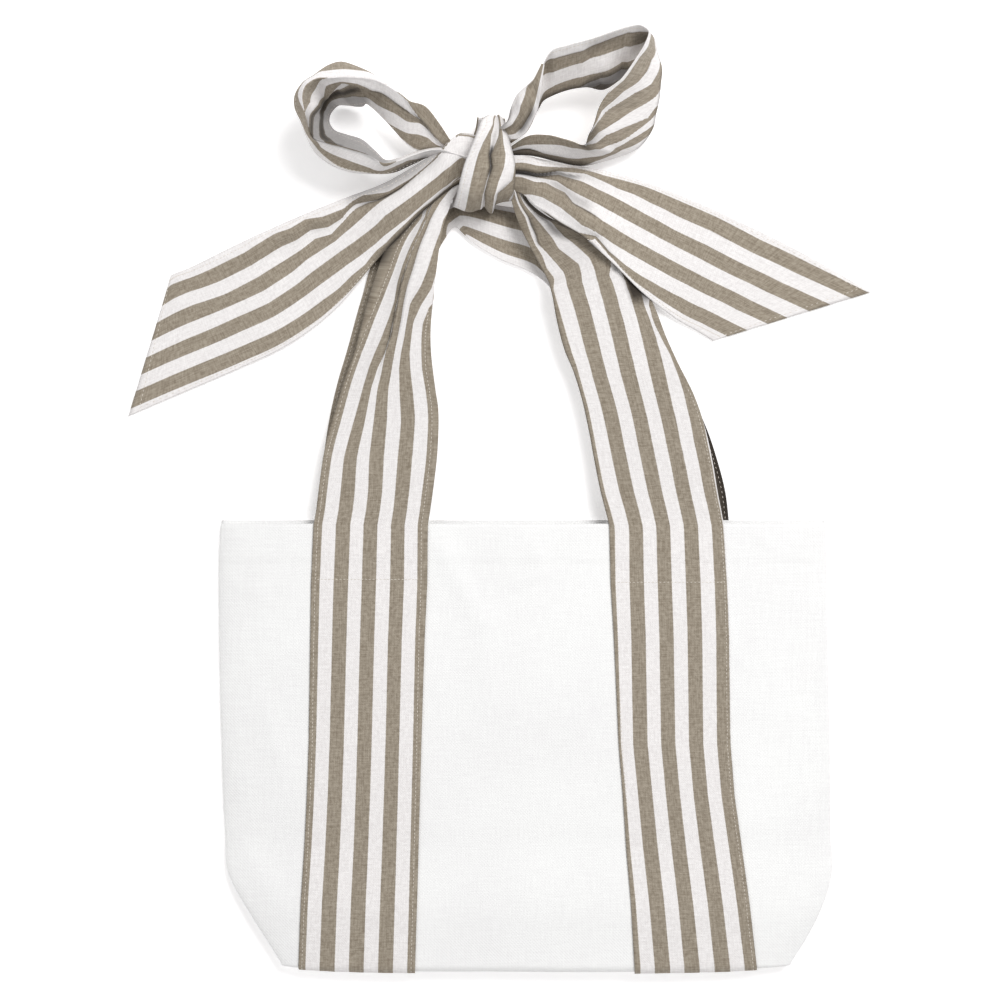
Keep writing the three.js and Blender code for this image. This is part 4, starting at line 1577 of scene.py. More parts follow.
# Its tail, from the knot out to the slanted end
RIGHT_TAIL = Ribbon(
    rows=(
        (-11, 404, 15, -10, 381, 16),
        (-3, 405.5, 14, -3, 379, 18),
        (10, 403.5, 11, 6.5, 371, 18),
        (35, 399.5, 7.5, 21.5, 360, 18),
        (61.5, 394.5, 5.5, 40.5, 348.5, 16),
        (84.5, 388, 4.5, 60, 332, 12.5),
        (106.5, 379.5, 3.5, 78.5, 314, 8),
        (134.5, 367.5, 2.5, 101, 296.5, 3),
        (190, 340.5, 1.5, 118, 286.5, 1.5),
        (238.5, 313, 0.8, 129.5, 279.5, 0.8),
    ),
    drape=(
        (0, 0, 22, 45, 45.5, 46, 60.5, 104),
        (8, 0, 22, 45, 45.5, 46, 60.5, 104),
        (16, 0, 20.5, 42, 43, 46, 61.5, 89, 106),
        (24, 0, 16.5, 33, 34, 41.5, 51.5, 81, 101),
        (32, 0, 12, 20.5, 23.5, 37.5, 54, 80.5, 98.5),
        (40, 0, 7.5, 16.5, 24, 43, 55, 80.5, 98.5),
        (48, 0, 6.5, 12.8, 24, 46, 66, 84, 98.5),
        (60, 0, 8.3, 16.7, 29.5, 49.4, 68, 89.8, 98.4),
        (72, 0, 7.2, 19.9, 31.8, 51, 68.6, 85.4, 88.5, 91.9),
        (84, 0, 6.1, 19, 33, 50.5, 66.4, 83.2, 93.3, 95.8),
        (96, 0, 5.8, 20.1, 33.4, 49, 64.1, 79.7, 92.4, 97.6),
        (108, 0, 5.5, 19.3, 32.4, 47.1, 61.2, 75.5, 89.4, 97.5),
        (120, 0, 5.4, 19.7, 32.6, 45.8, 59.2, 73, 86.1, 95.4),
        (144, 0, 5, 18.1, 31, 44.2, 56.8, 69.7, 82, 93.6),
        (168, 0, 6.4, 19.5, 31.7, 44.5, 56.5, 69, 80.8, 93),
        (192, 0, 4.9, 17.6, 30.4, 43.3, 55.8, 68.4, 80.2, 92.3),
        (219, 0, 1.5, 12.6, 25.8, 39.3, 53, 65.5, 78.5, 90.9),
    ),
    shades=(
        Shade(at=15.2, wide=1.9, up=0.95, end=26, ramp=14),
        Shade(at=19, wide=3.5, up=0.6, start=28, end=40, ramp=10, side=Side.RIGHT),
        Shade(at=40, wide=5, up=0.4, start=34, end=54, ramp=12),
        Shade(at=45.2, wide=1, up=0.6, start=44, end=60, ramp=12),
        Shade(at=65.2, wide=1, up=0.4, start=66, end=84, ramp=12),
        Shade(at=OUT_RIGHT, wide=1.3, up=0.8, start=34, end=70, ramp=14),
    ),
    pleats=(
        Pleat(at=24, wide=10, up=1.8, end=20, ramp=22),
        Pleat(at=40.3, wide=6, up=-2, end=26, ramp=34),
    ),
    folds=(
        Fold(at=50, wide=6, up=0.4, end=55),
        Fold(at=12, wide=5, up=0.3, end=40),
    ),
    columns=64,
    press=0.7,
    edge=Edge.WHITE,
    first_stripe=4.9,
    stripe_pair=20.1,
    seed=5.0,
)

# Its loop, from the knot round and back
RIGHT_LOOP = Ribbon(
    rows=(
        (-12, 420.5, 22, -10, 414.5, 10),
        (-4.5, 438.5, 32, 1, 422, 12),
        (8.5, 455, 40, 9, 437.5, 15),
        (16, 470, 44, 13.5, 443, 18),
        (28.5, 475, 46, 28.5, 449, 20),
        (43, 478.5, 48, 42, 451, 21),
        (57.5, 483, 50, 53, 449.5, 20),
        (70, 486.5, 51, 65, 457.5, 15),
        (78, 486.5, 52, 79, 472, 20),
        (82.5, 482.5, 52, 86.5, 483, 30),
        (80, 474.5, 52, 89.5, 475, 22),
        (73, 463.5, 51, 93, 464.5, 18),
        (65, 452.5, 49.5, 92.5, 454, 16),
        (56.5, 444, 47, 91.5, 443.5, 14),
        (50, 434.5, 44, 89.5, 434, 12),
        (47, 424.5, 41, 87.5, 424.5, 10),
        (43.5, 415.5, 38, 77.5, 411, 9),
        (39.5, 409, 35, 59.5, 403.5, 9),
        (30, 412.5, 31, 41.5, 399, 11),
        (14.5, 417, 28, 21.5, 401.5, 13),
        (1.5, 416.5, 26, 4, 405.5, 14),
        (-10, 410, 20, -10, 406, 12),
    ),
    drape=(
        (0, 0, 16, 48.5, 80, 112),
        (40, 0, 26, 56, 90, 112),
        (48, 0, 20, 52, 85, 104),
        (56, 0, 21, 49.5, 79.5, 104),
        (72, 0, 20.5, 46.3, 77, 101),
        (80, 0, 19.5, 47, 78, 92, 103),
        (88, 0, 16.5, 42.5, 69.5, 76, 84, 104),
        (96, 0, 14.8, 41, 67.5, 76, 90, 106),
        (104, 0, 12.1, 38.7, 68, 80, 98),
        (112, 0, 16.2, 46, 80, 98),
        (120, 0, 19, 58, 100),
        (130, 0, 21, 80, 130),
        (136, 0, 21.6, 87, 130),
        (144, 0, 8.1, 56.6, 95.3, 130),
        (152, 0, 6.4, 51.6, 85.2, 118),
        (160, 0, 6.3, 41.5, 75.1, 104),
        (168, 0, 1.9, 24.7, 47.3, 92.8, 112),
        (176, 1, 17.2, 30.5, 72.2, 96.2, 106),
        (184, 1, 6.4, 13.8, 50.4, 87.5, 93.8, 106),
        (192, 1, 2.7, 4.1, 29.7, 52.4, 78.2, 91.4, 104),
        (200, 1, -3, 1, 13, 27, 64, 71.6, 91.8),
        (208, 2, -5, 9, 20, 46.5, 62.6, 78.1),
        (216, 3, -4, 0, 20.4, 62.7, 78.9),
        (224, 4, -3, 24, 62.9, 87),
        (232, 4, -3, 28.3, 69.6, 99.1),
        (240, 4, -4, 27.1, 73.9, 101),
        (256, 4, -4, 39.7, 75.7, 104),
        (264, 4, -4, 43.1, 62.4, 104),
        (278, 4, -4, 31.6, 47.6, 104),
    ),
    shades=(
        Shade(at=38, wide=3, up=0.82, start=40, end=120, ramp=14, side=Side.RIGHT, flood=True),
        Shade(at=14, wide=6, up=0.4, start=114, end=124, ramp=8),
        Shade(at=9.5, wide=0.8, up=0.35, start=60, end=120, ramp=10),
        Shade(at=OUT_RIGHT, wide=1.6, up=0.5, start=136, end=200, ramp=10),
        Shade(at=OUT_LEFT, wide=7, up=0.6, start=200, end=218, ramp=10),
        Shade(at=OUT_RIGHT, wide=5, up=0.95, start=234, ramp=12),
        Shade(at=66.5, wide=2.5, up=0.8, start=262, ramp=12, side=Side.RIGHT),
    ),
    pleats=(
        Pleat(at=38, wide=17, up=1.4, start=184, end=206, ramp=12),
    ),
    folds=(
        Fold(at=14, wide=6, up=-0.4, start=20, end=90, ramp=20),
        Fold(at=44, wide=6, up=0.4, start=20, end=200, ramp=30),
    ),
    press=0.6,
    edge=Edge.WHITE,
    first_stripe=9.5,
    stripe_pair=19.0,
    columns=72,
    step=2.0,
    uneven=0.5,
    seed=6.0,
)

# The narrow upper cloth where the loop leaves the knot
RIGHT_CUFF = Ribbon(
    rows=(
        (-16, 424, 24, -13, 415.5, 24),
        (-12, 426.5, 30, -6, 414.5, 28),
        (-9.5, 435, 36, -0.5, 417.5, 32),
        (-6, 442, 41, 4, 424, 37),
        (-0.5, 447, 45, 8, 432, 42),
        (4.5, 451, 48, 9.5, 441, 46),
        (8, 457, 49, 11, 451.5, 48),
        (10.5, 462, 49, 12.5, 461, 49),
    ),
    shades=(
        Shade(at=0, wide=2.5, up=0.7, end=12, ramp=8),
        Shade(at=18.5, wide=2.2, up=0.75, start=16, end=28, ramp=8),
    ),
    folds=(Fold(at=7, wide=3, up=0.6, end=40),),
    tucks=(Tuck(side=Side.LEFT, wide=8, start=38, ramp=14),),
    pleats=(Pleat(at=12, wide=3, up=1, start=14, end=20, ramp=8),),
    last=22,
    press=0.7,
    edge=Edge.WHITE,
    first_stripe=8.5,
    stripe_pair=20.0,
    columns=28,
    step=1.6,
    uneven=0.3,
    seed=11.0,
)

# The wrap over the knot
RIGHT_OVER = Ribbon(
    rows=(
        (-49, 382, 6, -9, 384, 6),
        (-50, 371.5, 9, -9, 375.5, 9),
        (-49, 371, 18, -9, 375, 17),
        (-46.5, 377.5, 28, -8, 377.5, 27),
        (-44, 387, 34, -7, 387, 32),
        (-41.5, 396, 35, -7, 396.5, 33),
        (-37.5, 407, 32, -9, 405.5, 31),
        (-32.5, 420, 27, -12, 417, 26),
        (-29.5, 429, 20, -14, 426.5, 20),
        (-25, 433, 13, -16.5, 431.5, 13),
        (-23, 433.5, 7, -18, 432.5, 7),
    ),
    drape=(
        (0, 0, 20, 46, 57, 65, 71),
        (24, 0, 19.9, 45, 52, 64.3, 69.6),
        (32, 0, 20.2, 45, 47.5, 64.8, 70.5, 100),
        (40, 0, 21, 48, 49.2, 70, 95.1),
        (48, 0, 22.6, 52.5, 53.5, 78, 98.3),
        (56, 0, 24.2, 47.5, 48.5, 82.4, 103),
        (64, 0, 29.3, 46.3, 59.4, 79, 104),
        (72, 0, 37.5, 43.9, 70.5, 79.6, 104),
        (80, 0, 50, 51, 76, 77, 104),
    ),
    pleats=(
        Pleat(at=26, wide=9, up=2.6, start=20, end=58, ramp=18),
    ),
    shades=(
        Shade(at=26, wide=1.5, up=0.97, start=46, end=60, ramp=7),
        Shade(at=26, wide=1.6, up=0.35, start=30, end=70, ramp=12),
        Shade(at=0, wide=1.2, up=0.5),
        Shade(at=90, wide=1.2, up=0.5),
        Shade(at=51.6, wide=2, up=0.35, start=20, end=40, ramp=10, side=Side.LEFT),
    ),
    folds=(
        Fold(at=14, wide=6, up=0.3),
        Fold(at=40, wide=7, up=0.4),
    ),
    first=4,
    last=62,
    press=0.7,
    edge=Edge.WHITE,
    first_stripe=11.0,
    columns=64,
    step=1.6,
    seed=7.0,
)

# The wrap under the knot
RIGHT_UNDER = Ribbon(
    rows=(
        (-33, 432, 10, -14, 431, 10),
        (-34, 426, 3.5, -13, 426, 3.5),
        (-42, 405, 2, -11, 405, 2),
        (-45, 390, 3.5, -10, 390, 3.5),
        (-45, 379, 8, -11, 380, 8),
    ),
    columns=24,
    uneven=0.1,
    seed=8.0,
)


def right_tie(body: CanvasBody) -> FrontTie:
    """The right tie: its strap, tail and loop, and its wrap round the knot.

    Args:
        body: The bag that it is sewn to.

    Returns:
        The tie.
    """
    return FrontTie(
        name="right_tie",
        node="tie_right",
        body=body,
        band_sides=(
            (0, 57.3, 135.6),
            (41, 58.3, 138.2),
            (78, 60.5, 139.5),
            (150, 63.7, 140.3),
            (186, 66.6, 143),
            (222, 68.9, 148.1),
            (258, 71.9, 152.9),
            (308.5, 74.9, 158.9),
        ),
        strap=RIGHT_STRAP,
        rest=(RIGHT_TAIL, RIGHT_LOOP, RIGHT_CUFF, RIGHT_OVER, RIGHT_UNDER),
        flat_length=1260,
        seam_y=113.5,
    )


# The back handle, from foot to foot over its arch
BACK_HANDLE = Ribbon(
    rows=(
        (-155, -149, 0.6, -76, -149, 0.6),
        (-152, -80, 0.6, -74, -80, 0.6),
        (-150, 0, 0.6, -73, 0, 0.6),
        (-147, 80, 0.6, -72, 80, 0.6),
        (-144, 153, 0.6, -71, 153, 0.6),
        (-140, 190, 0.6, -68, 190, 0.6),
        (-135, 225, 0.6, -66, 228, 0.6),
        (-130, 247.5, 0.8, -66, 250, 0.8),
        (-122, 275, 1, -66, 277, 1),
        (-112.5, 309, 1.4, -63, 309, 1.4),
        (-101, 342, 1.8, -62, 334.5, 1.8),
        (-84, 361.5, 2, -56, 348.5, 2.2),
        (-66, 371.5, 2, -48, 357.5, 2.2),
        (-45, 374.5, 2, -38, 348.5, 2.2),
        (-17, 372.5, 2, -17, 335.5, 2.2),
        (6, 367.5, 2, 2, 327.5, 2.2),
        (26, 357.5, 2, 14, 319.5, 2.2),
        (48, 339.5, 2, 24, 305.5, 2),
        (68, 318, 1.5, 30, 288, 1.5),
        (86, 294, 1.2, 38, 264, 1.2),
        (98, 278, 1, 44, 244, 1),
        (112, 246, 0.8, 48, 218, 0.8),
        (124, 222, 0.6, 54, 195, 0.6),
        (132, 199, 0.6, 59, 174, 0.6),
        (138, 176, 0.6, 62, 162, 0.6),
        (141, 150, 0.6, 63.5, 150, 0.6),
        (142, 80, 0.6, 64, 80, 0.6),
        (145, 0, 0.6, 67, 0, 0.6),
        (150, -80, 0.6, 72, -80, 0.6),
        (159, -149, 0.6, 78, -149, 0.6),
    ),
    drape=(
        (0, 0, 9, 22, 35, 47.5, 60.5, 72.5, 85.5, 98),
        (330, 0, 9, 22, 35, 47.5, 60.5, 72.5, 85.5, 98),
        (430, 0, 14, 33, 52, 70, 88, 106),
        (500, 0, 20, 46, 72, 98),
        (540, 2, -18, 7, 35.4, 63, 86, 112),
        (576, 2, -16, 9.6, 38.1, 61.6, 86.5, 111),
        (594, 2, -12, 11.5, 37, 60, 84, 108),
        (680, 0, 4, 22, 40, 58, 76, 94),
        (740, 0, 9, 22, 35, 48, 60.5, 73, 86, 99),
    ),
    shades=(
        Shade(at=OUT_LEFT, wide=8, up=0.9, start=486, end=520, ramp=16),
        Shade(at=OUT_LEFT, wide=10, up=0.95, start=742, end=840, ramp=20),
        Shade(at=40, wide=5, up=0.4, start=540, end=600, ramp=16),
    ),
    folds=(
        Fold(at=48, wide=8, up=0.5, start=560, end=640, ramp=60),
    ),
    press=0.25,
    first_stripe=8.0,
    stripe_pair=STRIPE_PAIR,
    uneven=0.1,
    seed=9.0,
)


# Finishes


def linear(colour: str) -> tuple[float, float, float, float]:
    """Turns a colour into the linear numbers that shaders take.

    Args:
        colour: An sRGB colour as a hash and six hex digits.

    Returns:
        Red, green, blue and an alpha of one.
    """
    parts = [int(colour[k : k + 2], 16) / 255 for k in (1, 3, 5)]
    turned = [p / 12.92 if p <= 0.04045 else ((p + 0.055) / 1.055) ** 2.4 for p in parts]
    return (*turned, 1.0)


def add_node(
    tree: bpy.types.NodeTree,
    kind: str,
    inputs: dict[str | int, object] | None = None,
    **settings: object,
) -> bpy.types.Node:
    """Adds a shader node.

    Args:
        tree: The material's nodes.
        kind: Blender's name of the node.
        inputs: For each input a value, or the output that feeds it.
        **settings: The node's own settings.

    Returns:
        The node.
    """
    node = tree.nodes.new(kind)
    for name, value in settings.items():
        setattr(node, name, value)
    for socket, value in (inputs or {}).items():
        if isinstance(value, bpy.types.NodeSocket):
            tree.links.new(value, node.inputs[socket])
        else:
            node.inputs[socket].default_value = value
    return node


def bare_material(name: str) -> bpy.types.Material:
    """Makes a material whose node tree is still empty.

    Args:
        name: Name of the material.

    Returns:
        The material.
    """
    material = bpy.data.materials.new(name)
    material.use_nodes = True
    material.node_tree.nodes.clear()
    return material


@dataclass(frozen=True)
class WovenCotton:
    """Plain-woven cotton with thick and thin yarns, each over one and under one.

    Attributes:
        name: Name of the material.
        yarn: From one yarn to the next, in millimetres. It is drawn coarser than it
            really is, so that it shows.
        stretches: How fast the tone changes for the yarns of one way, of the other way
            and for the cloth as a whole.
        offsets: Where each of these tones is read.
        detail: How much fine detail the tones have.
        tones: Darkest and lightest tone of all yarns together.
        crimp: Height of the weave beside that of the uneven yarns.
        relief: Height of both, in millimetres.
        strength: How strongly the relief catches the light.
        roughness: Roughness of the fibres.
        specular: Their gloss.
        ior: Their refraction.
        sheen: Their pale glow where they are seen at a slant.
        sheen_roughness: How widely that glow spreads.
    """

    name: str
    yarn: float
    stretches: tuple[Place, Place, Place]
    offsets: Place
    detail: float
    tones: tuple[float, float]
    crimp: float
    relief: float
    strength: float
    roughness: float
    specular: float
    sheen: float
    sheen_roughness: float = 0.5
    ior: float = 1.45

    def uneven(
        self, tree: bpy.types.NodeTree, place: bpy.types.NodeSocket
    ) -> tuple[bpy.types.NodeSocket, bpy.types.NodeSocket]:
        """Adds the thick and thin yarns.

        Args:
            tree: The material's nodes.
            place: Where the pattern is read, in metres.

        Returns:
            The tone of both ways' yarns, and that with the whole cloth's added.
        """
        tones = []
        for scale, offset in zip(self.stretches, self.offsets):
            stretch = add_node(
                tree,
                "ShaderNodeMapping",
                {"Vector": place, "Scale": scale, "Location": (offset, offset, offset)},
            )
            tone = add_node(
                tree,
                "ShaderNodeTexNoise",
                {
                    "Vector": stretch.outputs[0],
                    "Scale": 1.0,
                    "Detail": 2.0,
                    "Roughness": self.detail,
                },
            )
            tones.append(tone.outputs[0])
        both = add_node(tree, "ShaderNodeMath", {0: tones[0], 1: tones[1]}, operation="ADD")
        both = both.outputs[0]
        whole = add_node(tree, "ShaderNodeMath", {0: both, 1: tones[2]}, operation="ADD")
        return both, whole.outputs[0]

    def fleck(self, tree: bpy.types.NodeTree, tone: bpy.types.NodeSocket) -> bpy.types.NodeSocket:
        """Adds the share of light yarns.

        Args:
            tree: The material's nodes.
            tone: Tone of the uneven yarns.

        Returns:
            The share, 0 to 1.
        """
        dark, light = self.tones
        share = add_node(
            tree, "ShaderNodeMapRange", {"Value": tone, "From Min": dark, "From Max": light}
        )
        return share.outputs[0]

    def dress(
        self,
        tree: bpy.types.NodeTree,
        place: bpy.types.NodeSocket,
        uneven: bpy.types.NodeSocket,
        colour: bpy.types.NodeSocket,
    ) -> None:
        """Adds the weave's relief and the matt cotton surface.

        Args:
            tree: The material's nodes.
            place: Where the pattern is read, in metres.
            uneven: Tone of the uneven yarns.
            colour: Colour of the cloth.
        """
        split = add_node(tree, "ShaderNodeSeparateXYZ", {0: place})
        ways = []
        for way in ("X", "Y"):
            turns = add_node(
                tree,
                "ShaderNodeMath",
                {0: split.outputs[way], 1: math.tau / (2 * self.yarn * MM)},
                operation="MULTIPLY",
            )
            wave = add_node(tree, "ShaderNodeMath", {0: turns.outputs[0]}, operation="SINE")
            ways.append(wave.outputs[0])
        weave = add_node(tree, "ShaderNodeMath", {0: ways[0], 1: ways[1]}, operation="MULTIPLY")
        height = add_node(
            tree,
            "ShaderNodeMath",
            {0: weave.outputs[0], 1: self.crimp, 2: uneven},
            operation="MULTIPLY_ADD",
        )
        bump = add_node(
            tree,
            "ShaderNodeBump",
            {
                "Strength": self.strength,
                "Distance": self.relief * MM,
                "Height": height.outputs[0],
            },
        )
        shader = add_node(
            tree,
            "ShaderNodeBsdfPrincipled",
            {
                "Base Color": colour,
                "Normal": bump.outputs[0],
                "Roughness": self.roughness,
                "IOR": self.ior,
                "Specular IOR Level": self.specular,
                "Sheen Weight": self.sheen,
                "Sheen Roughness": self.sheen_roughness,
            },
        )
        add_node(tree, "ShaderNodeOutputMaterial", {"Surface": shader.outputs[0]})


@dataclass(frozen=True)
class StripedCotton(WovenCotton):
    """Yarn-dyed cotton: taupe and white warp stripes over a white weft.

    The white weft shows through the taupe warp as pale flecks, so the stripes look
    like chambray, and thick and thin yarns run along and across the strip. Shade is
    painted into the colour where the strip lies in a crease or under other cloth.

    Attributes:
        taupe_dark: Taupe warp where the yarns are dark.
        taupe_light: Taupe warp where the white weft shows through.
        white_dark: White warp where the yarns are dark.
        white_light: White warp where they are light.
        crease: Painted shade, the near-black brown mixed into the colour by the map "shade".
        stripe_blur: Width of the line between two stripes, in millimetres.
        wander: How far that line strays, in millimetres.
        wander_rate: How often it strays, to a metre.
    """

    name: str = "yarn_dyed_striped_cotton"
    yarn: float = 0.9  # really 0.35
    stretches: tuple[Place, Place, Place] = (
        (70.0, 1400.0, 1.0),
        (1200.0, 110.0, 1.0),
        (420.0, 420.0, 1.0),
    )
    offsets: Place = (0.0, 5.0, 9.0)
    detail: float = 0.6
    tones: tuple[float, float] = (1.2, 1.8)
    crimp: float = 0.5
    relief: float = 0.16
    strength: float = 0.55
    roughness: float = 0.88
    specular: float = 0.25
    sheen: float = 0.12
    sheen_roughness: float = 0.6
    taupe_dark: str = "#827768"
    taupe_light: str = "#A59B8C"
    white_dark: str = "#DFDBDA"
    white_light: str = "#F0EDEC"
    # painted shade colour, for creases and for cloth lying under other cloth
    crease: str = "#241D17"
    stripe_blur: float = 0.45
    wander: float = 0.4
    wander_rate: float = 700.0

    def build(self) -> bpy.types.Material:
        """Makes the material, which reads the strip's own UV maps.

        Returns:
            The striped cloth, with shade painted in where the map "shade" says so.
        """
        material = bare_material(self.name)
        tree = material.node_tree
        uv = add_node(tree, "ShaderNodeUVMap", uv_map="cloth").outputs["UV"]
        split = add_node(tree, "ShaderNodeSeparateXYZ", {0: uv})
        stray = add_node(
            tree, "ShaderNodeTexNoise", {"Vector": uv, "Scale": self.wander_rate, "Detail": 1.0}
        )
        shifted = add_node(
            tree,
            "ShaderNodeMath",
            {0: stray.outputs[0], 1: self.wander * MM, 2: split.outputs["Y"]},
            operation="MULTIPLY_ADD",
        )
        phase = add_node(
            tree,
            "ShaderNodeMath",
            {0: shifted.outputs[0], 1: math.tau / (STRIPE_PAIR * MM)},
            operation="MULTIPLY",
        )
        wave = add_node(tree, "ShaderNodeMath", {0: phase.outputs[0]}, operation="SINE")
        gain = STRIPE_PAIR / math.tau / self.stripe_blur
        white = add_node(
            tree,
            "ShaderNodeMath",
            {0: wave.outputs[0], 1: gain, 2: 0.5},
            operation="MULTIPLY_ADD",
            use_clamp=True,
        )
        _, yarns = self.uneven(tree, uv)
        fleck = self.fleck(tree, yarns)
        taupe, pale = (
            add_node(
                tree,
                "ShaderNodeMix",
                {"Factor": fleck, 6: linear(dark), 7: linear(light)},
                data_type="RGBA",
            ).outputs[2]
            for dark, light in (
                (self.taupe_dark, self.taupe_light),
                (self.white_dark, self.white_light),
            )
        )
        colour = add_node(
            tree,
            "ShaderNodeMix",
            {"Factor": white.outputs[0], 6: taupe, 7: pale},
            data_type="RGBA",
        )
        # painted shade: the colour is mixed towards the crease colour as far as the map "shade"
        # says
        deep = add_node(tree, "ShaderNodeUVMap", uv_map="shade").outputs["UV"]
        depth = add_node(tree, "ShaderNodeSeparateXYZ", {0: deep})
        shaded = add_node(
            tree,
            "ShaderNodeMix",
            {"Factor": depth.outputs["X"], 6: colour.outputs[2], 7: linear(self.crease)},
            data_type="RGBA",
        )
        self.dress(tree, uv, yarns, shaded.outputs[2])
        return material


@dataclass(frozen=True)
class BleachedCanvas(WovenCotton):
    """Bleached cotton canvas, plain woven: matt white with a fine even grain.

    Attributes:
        dark: Canvas where the yarns are dark.
        light: Canvas where they are light.
    """

    name: str = "bleached_cotton_canvas"
    yarn: float = 1.1  # really 0.6
    stretches: tuple[Place, Place, Place] = (
        (60.0, 1100.0, 60.0),
        (1100.0, 60.0, 60.0),
        (9.0, 9.0, 9.0),
    )
    offsets: Place = (0.0, 0.0, 0.0)
    detail: float = 0.55
    tones: tuple[float, float] = (1.15, 1.85)
    crimp: float = 0.6
    relief: float = 0.2
    strength: float = 0.5
    roughness: float = 0.92
    specular: float = 0.2
    sheen: float = 0.08
    dark: str = "#ECEBEB"
    light: str = "#F4F4F3"

    def build(self) -> bpy.types.Material:
        """Makes the material, which reads the bag's own coordinates.

        Returns:
            The canvas.
        """
        material = bare_material(self.name)
        tree = material.node_tree
        place = add_node(tree, "ShaderNodeTexCoord").outputs["Object"]
        yarns, tone = self.uneven(tree, place)
        fleck = self.fleck(tree, tone)
        colour = add_node(
            tree,
            "ShaderNodeMix",
            {"Factor": fleck, 6: linear(self.dark), 7: linear(self.light)},
            data_type="RGBA",
        )
        self.dress(tree, place, yarns, colour.outputs[2])
        return material


@dataclass(frozen=True)
class SewingThread:
    """Spun polyester sewing thread: off-white, with a slight lustre that lifts the stitches.

    Attributes:
        name: Name of the material.
        colour: Painted light, the plies where they face the light.
        shaded: Painted shade, the grooves between them.
        ply: How many patches of painted light and shade there are to a metre.
        roughness: Roughness of the thread.
    """

    name: str = "spun_sewing_thread"
    # painted light and painted shade of the plies
    colour: str = "#E6DFD5"
    shaded: str = "#CFC6BA"
    ply: float = 900.0
    roughness: float = 0.6

    def build(self) -> bpy.types.Material:
        """Makes the material, which reads the stitches' own coordinates.

        Returns:
            The thread.
        """
        material = bare_material(self.name)
        tree = material.node_tree
        place = add_node(tree, "ShaderNodeTexCoord").outputs["Object"]
        # painted light and shade of the plies, in random patches
        painted_ply_light = add_node(
            tree, "ShaderNodeTexNoise", {"Vector": place, "Scale": self.ply, "Detail": 1.0}
        )
        colour = add_node(
            tree,
            "ShaderNodeMix",
            {"Factor": painted_ply_light.outputs[0], 6: linear(self.shaded), 7: linear(self.colour)},
            data_type="RGBA",
        )
        shader = add_node(
            tree,
            "ShaderNodeBsdfPrincipled",
            {"Base Color": colour.outputs[2], "Roughness": self.roughness},
        )
        add_node(tree, "ShaderNodeOutputMaterial", {"Surface": shader.outputs[0]})
        return material


@dataclass(frozen=True)
class StudioPaper:
    """Seamless white background paper: matt, and bright enough to fade to white.

    Attributes:
        name: Name of the material.
        colour: The paper's colour.
        glow: Light that it gives off, as light behind it would.
    """

    name: str = "seamless_white_paper"
    colour: str = "#FCFBFB"
    glow: float = 0.3

    def build(self) -> bpy.types.Material:
        """Makes the material.

        Returns:
            The paper.
        """
        material = bpy.data.materials.new(self.name)
        material.use_nodes = True
        shader = material.node_tree.nodes["Principled BSDF"]
        shader.inputs["Base Color"].default_value = linear(self.colour)
        shader.inputs["Roughness"].default_value = 1.0
        shader.inputs["Specular IOR Level"].default_value = 0.0
        shader.inputs["Emission Color"].default_value = linear(self.colour)
        shader.inputs["Emission Strength"].default_value = self.glow
        return material


# The studio


@dataclass(frozen=True)
class SoftBox:
    """A square area light aimed at the bag.

    Attributes:
        name: Name of the light.
        place: Where it stands, in metres.
        side: Length of its sides.
        power: Its power in watts.
    """

    name: str
    place: Place
    side: float
    power: float


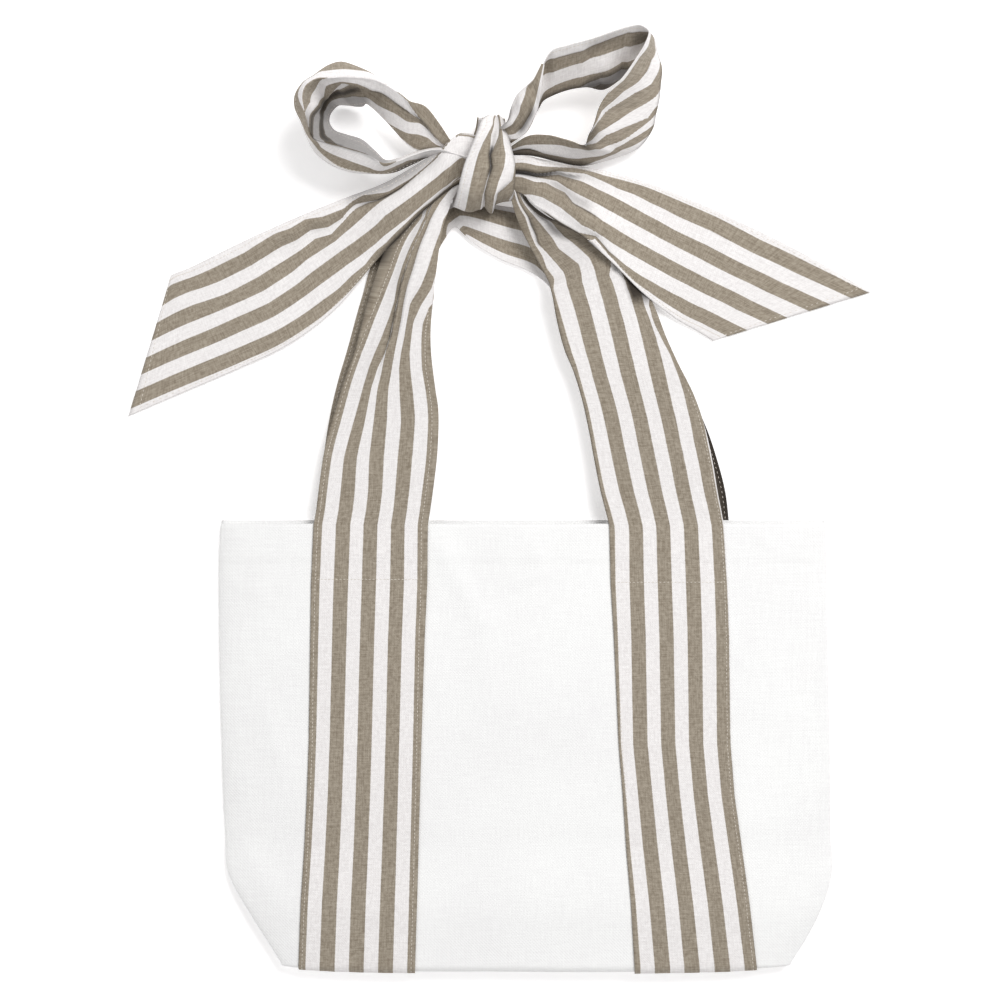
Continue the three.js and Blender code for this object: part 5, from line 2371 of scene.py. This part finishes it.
@dataclass
class Studio:
    """Camera, pale floor and soft light, in metres.

    Attributes:
        camera_place: Where the camera stands, looking straight down.
        camera_lens: Its focal length in millimetres.
        clip: Nearest and farthest that it sees.
        aim: Middle of the floor, where the lights point.
        floor_size: Length of the floor's sides.
        floor_drop: How far the floor lies under the bag.
        sky: Strength of the light from all sides.
        boxes: The lights.
    """

    camera_place: Place = (-0.01725, 0.1697, 1.63)
    camera_lens: float = 85.04
    clip: tuple[float, float] = (0.01, 50.0)
    aim: Place = (0.0, 0.15, 0.0)
    floor_size: float = 6.0
    floor_drop: float = 0.0004
    sky: float = 0.4
    boxes: tuple[SoftBox, ...] = (
        SoftBox("key_light", (0.9, 1.5, 1.9), 1.1, 45.0),
        SoftBox("fill_light", (-1.6, 0.3, 1.6), 1.6, 9.0),
        SoftBox("foot_light", (0.2, -1.6, 1.5), 1.4, 8.0),
    )

    def place_camera(self) -> None:
        """Puts the camera straight above the bag, as in the photograph."""
        lens = bpy.data.cameras.new("camera")
        lens.lens = self.camera_lens
        lens.clip_start, lens.clip_end = self.clip
        camera = bpy.data.objects.new("camera", lens)
        camera.location = self.camera_place
        bpy.context.scene.collection.objects.link(camera)
        bpy.context.scene.camera = camera

    def build(self, paper: bpy.types.Material) -> None:
        """Adds the floor and the lights.

        Args:
            paper: The floor's material.
        """
        sheet = bmesh.new()
        bmesh.ops.create_grid(sheet, x_segments=8, y_segments=8, size=self.floor_size / 2)
        bmesh.ops.translate(sheet, verts=sheet.verts, vec=(0, self.aim[1], -self.floor_drop))
        floor = object_of(sheet, "floor", paper)
        for box in self.boxes:
            light = bpy.data.lights.new(box.name, "AREA")
            light.shape = "SQUARE"
            light.size = box.side
            light.energy = box.power
            lamp = bpy.data.objects.new(box.name, light)
            lamp.location = box.place
            way = Vector(self.aim) - Vector(box.place)
            lamp.rotation_euler = way.to_track_quat("-Z", "Y").to_euler()
            bpy.context.scene.collection.objects.link(lamp)
        world = bpy.data.worlds.new("studio_air")
        world.use_nodes = True
        air = world.node_tree.nodes["Background"]
        air.inputs["Color"].default_value = (1.0, 1.0, 1.0, 1.0)
        air.inputs["Strength"].default_value = self.sky
        bpy.context.scene.world = world
        bpy.context.scene.view_settings.view_transform = "Standard"


def main() -> None:
    """Builds the bag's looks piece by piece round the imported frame."""
    logging.basicConfig(level=logging.INFO, format="%(message)s")
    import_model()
    studio = Studio()
    studio.place_camera()
    canvas = BleachedCanvas().build()
    cotton = StripedCotton().build()
    thread = SewingThread().build()
    studio.build(StudioPaper().build())
    body = CanvasBody()
    pieces = body.build(canvas)
    for tie in (left_tie(body), right_tie(body)):
        pieces += tie.build(cotton, thread)
    pieces += BackHandle(BACK_HANDLE).build(cotton, thread)
    for piece in pieces:
        LOG.info("%s: %d faces", piece.name, len(piece.data.polygons))


if __name__ == "__main__":
    main()
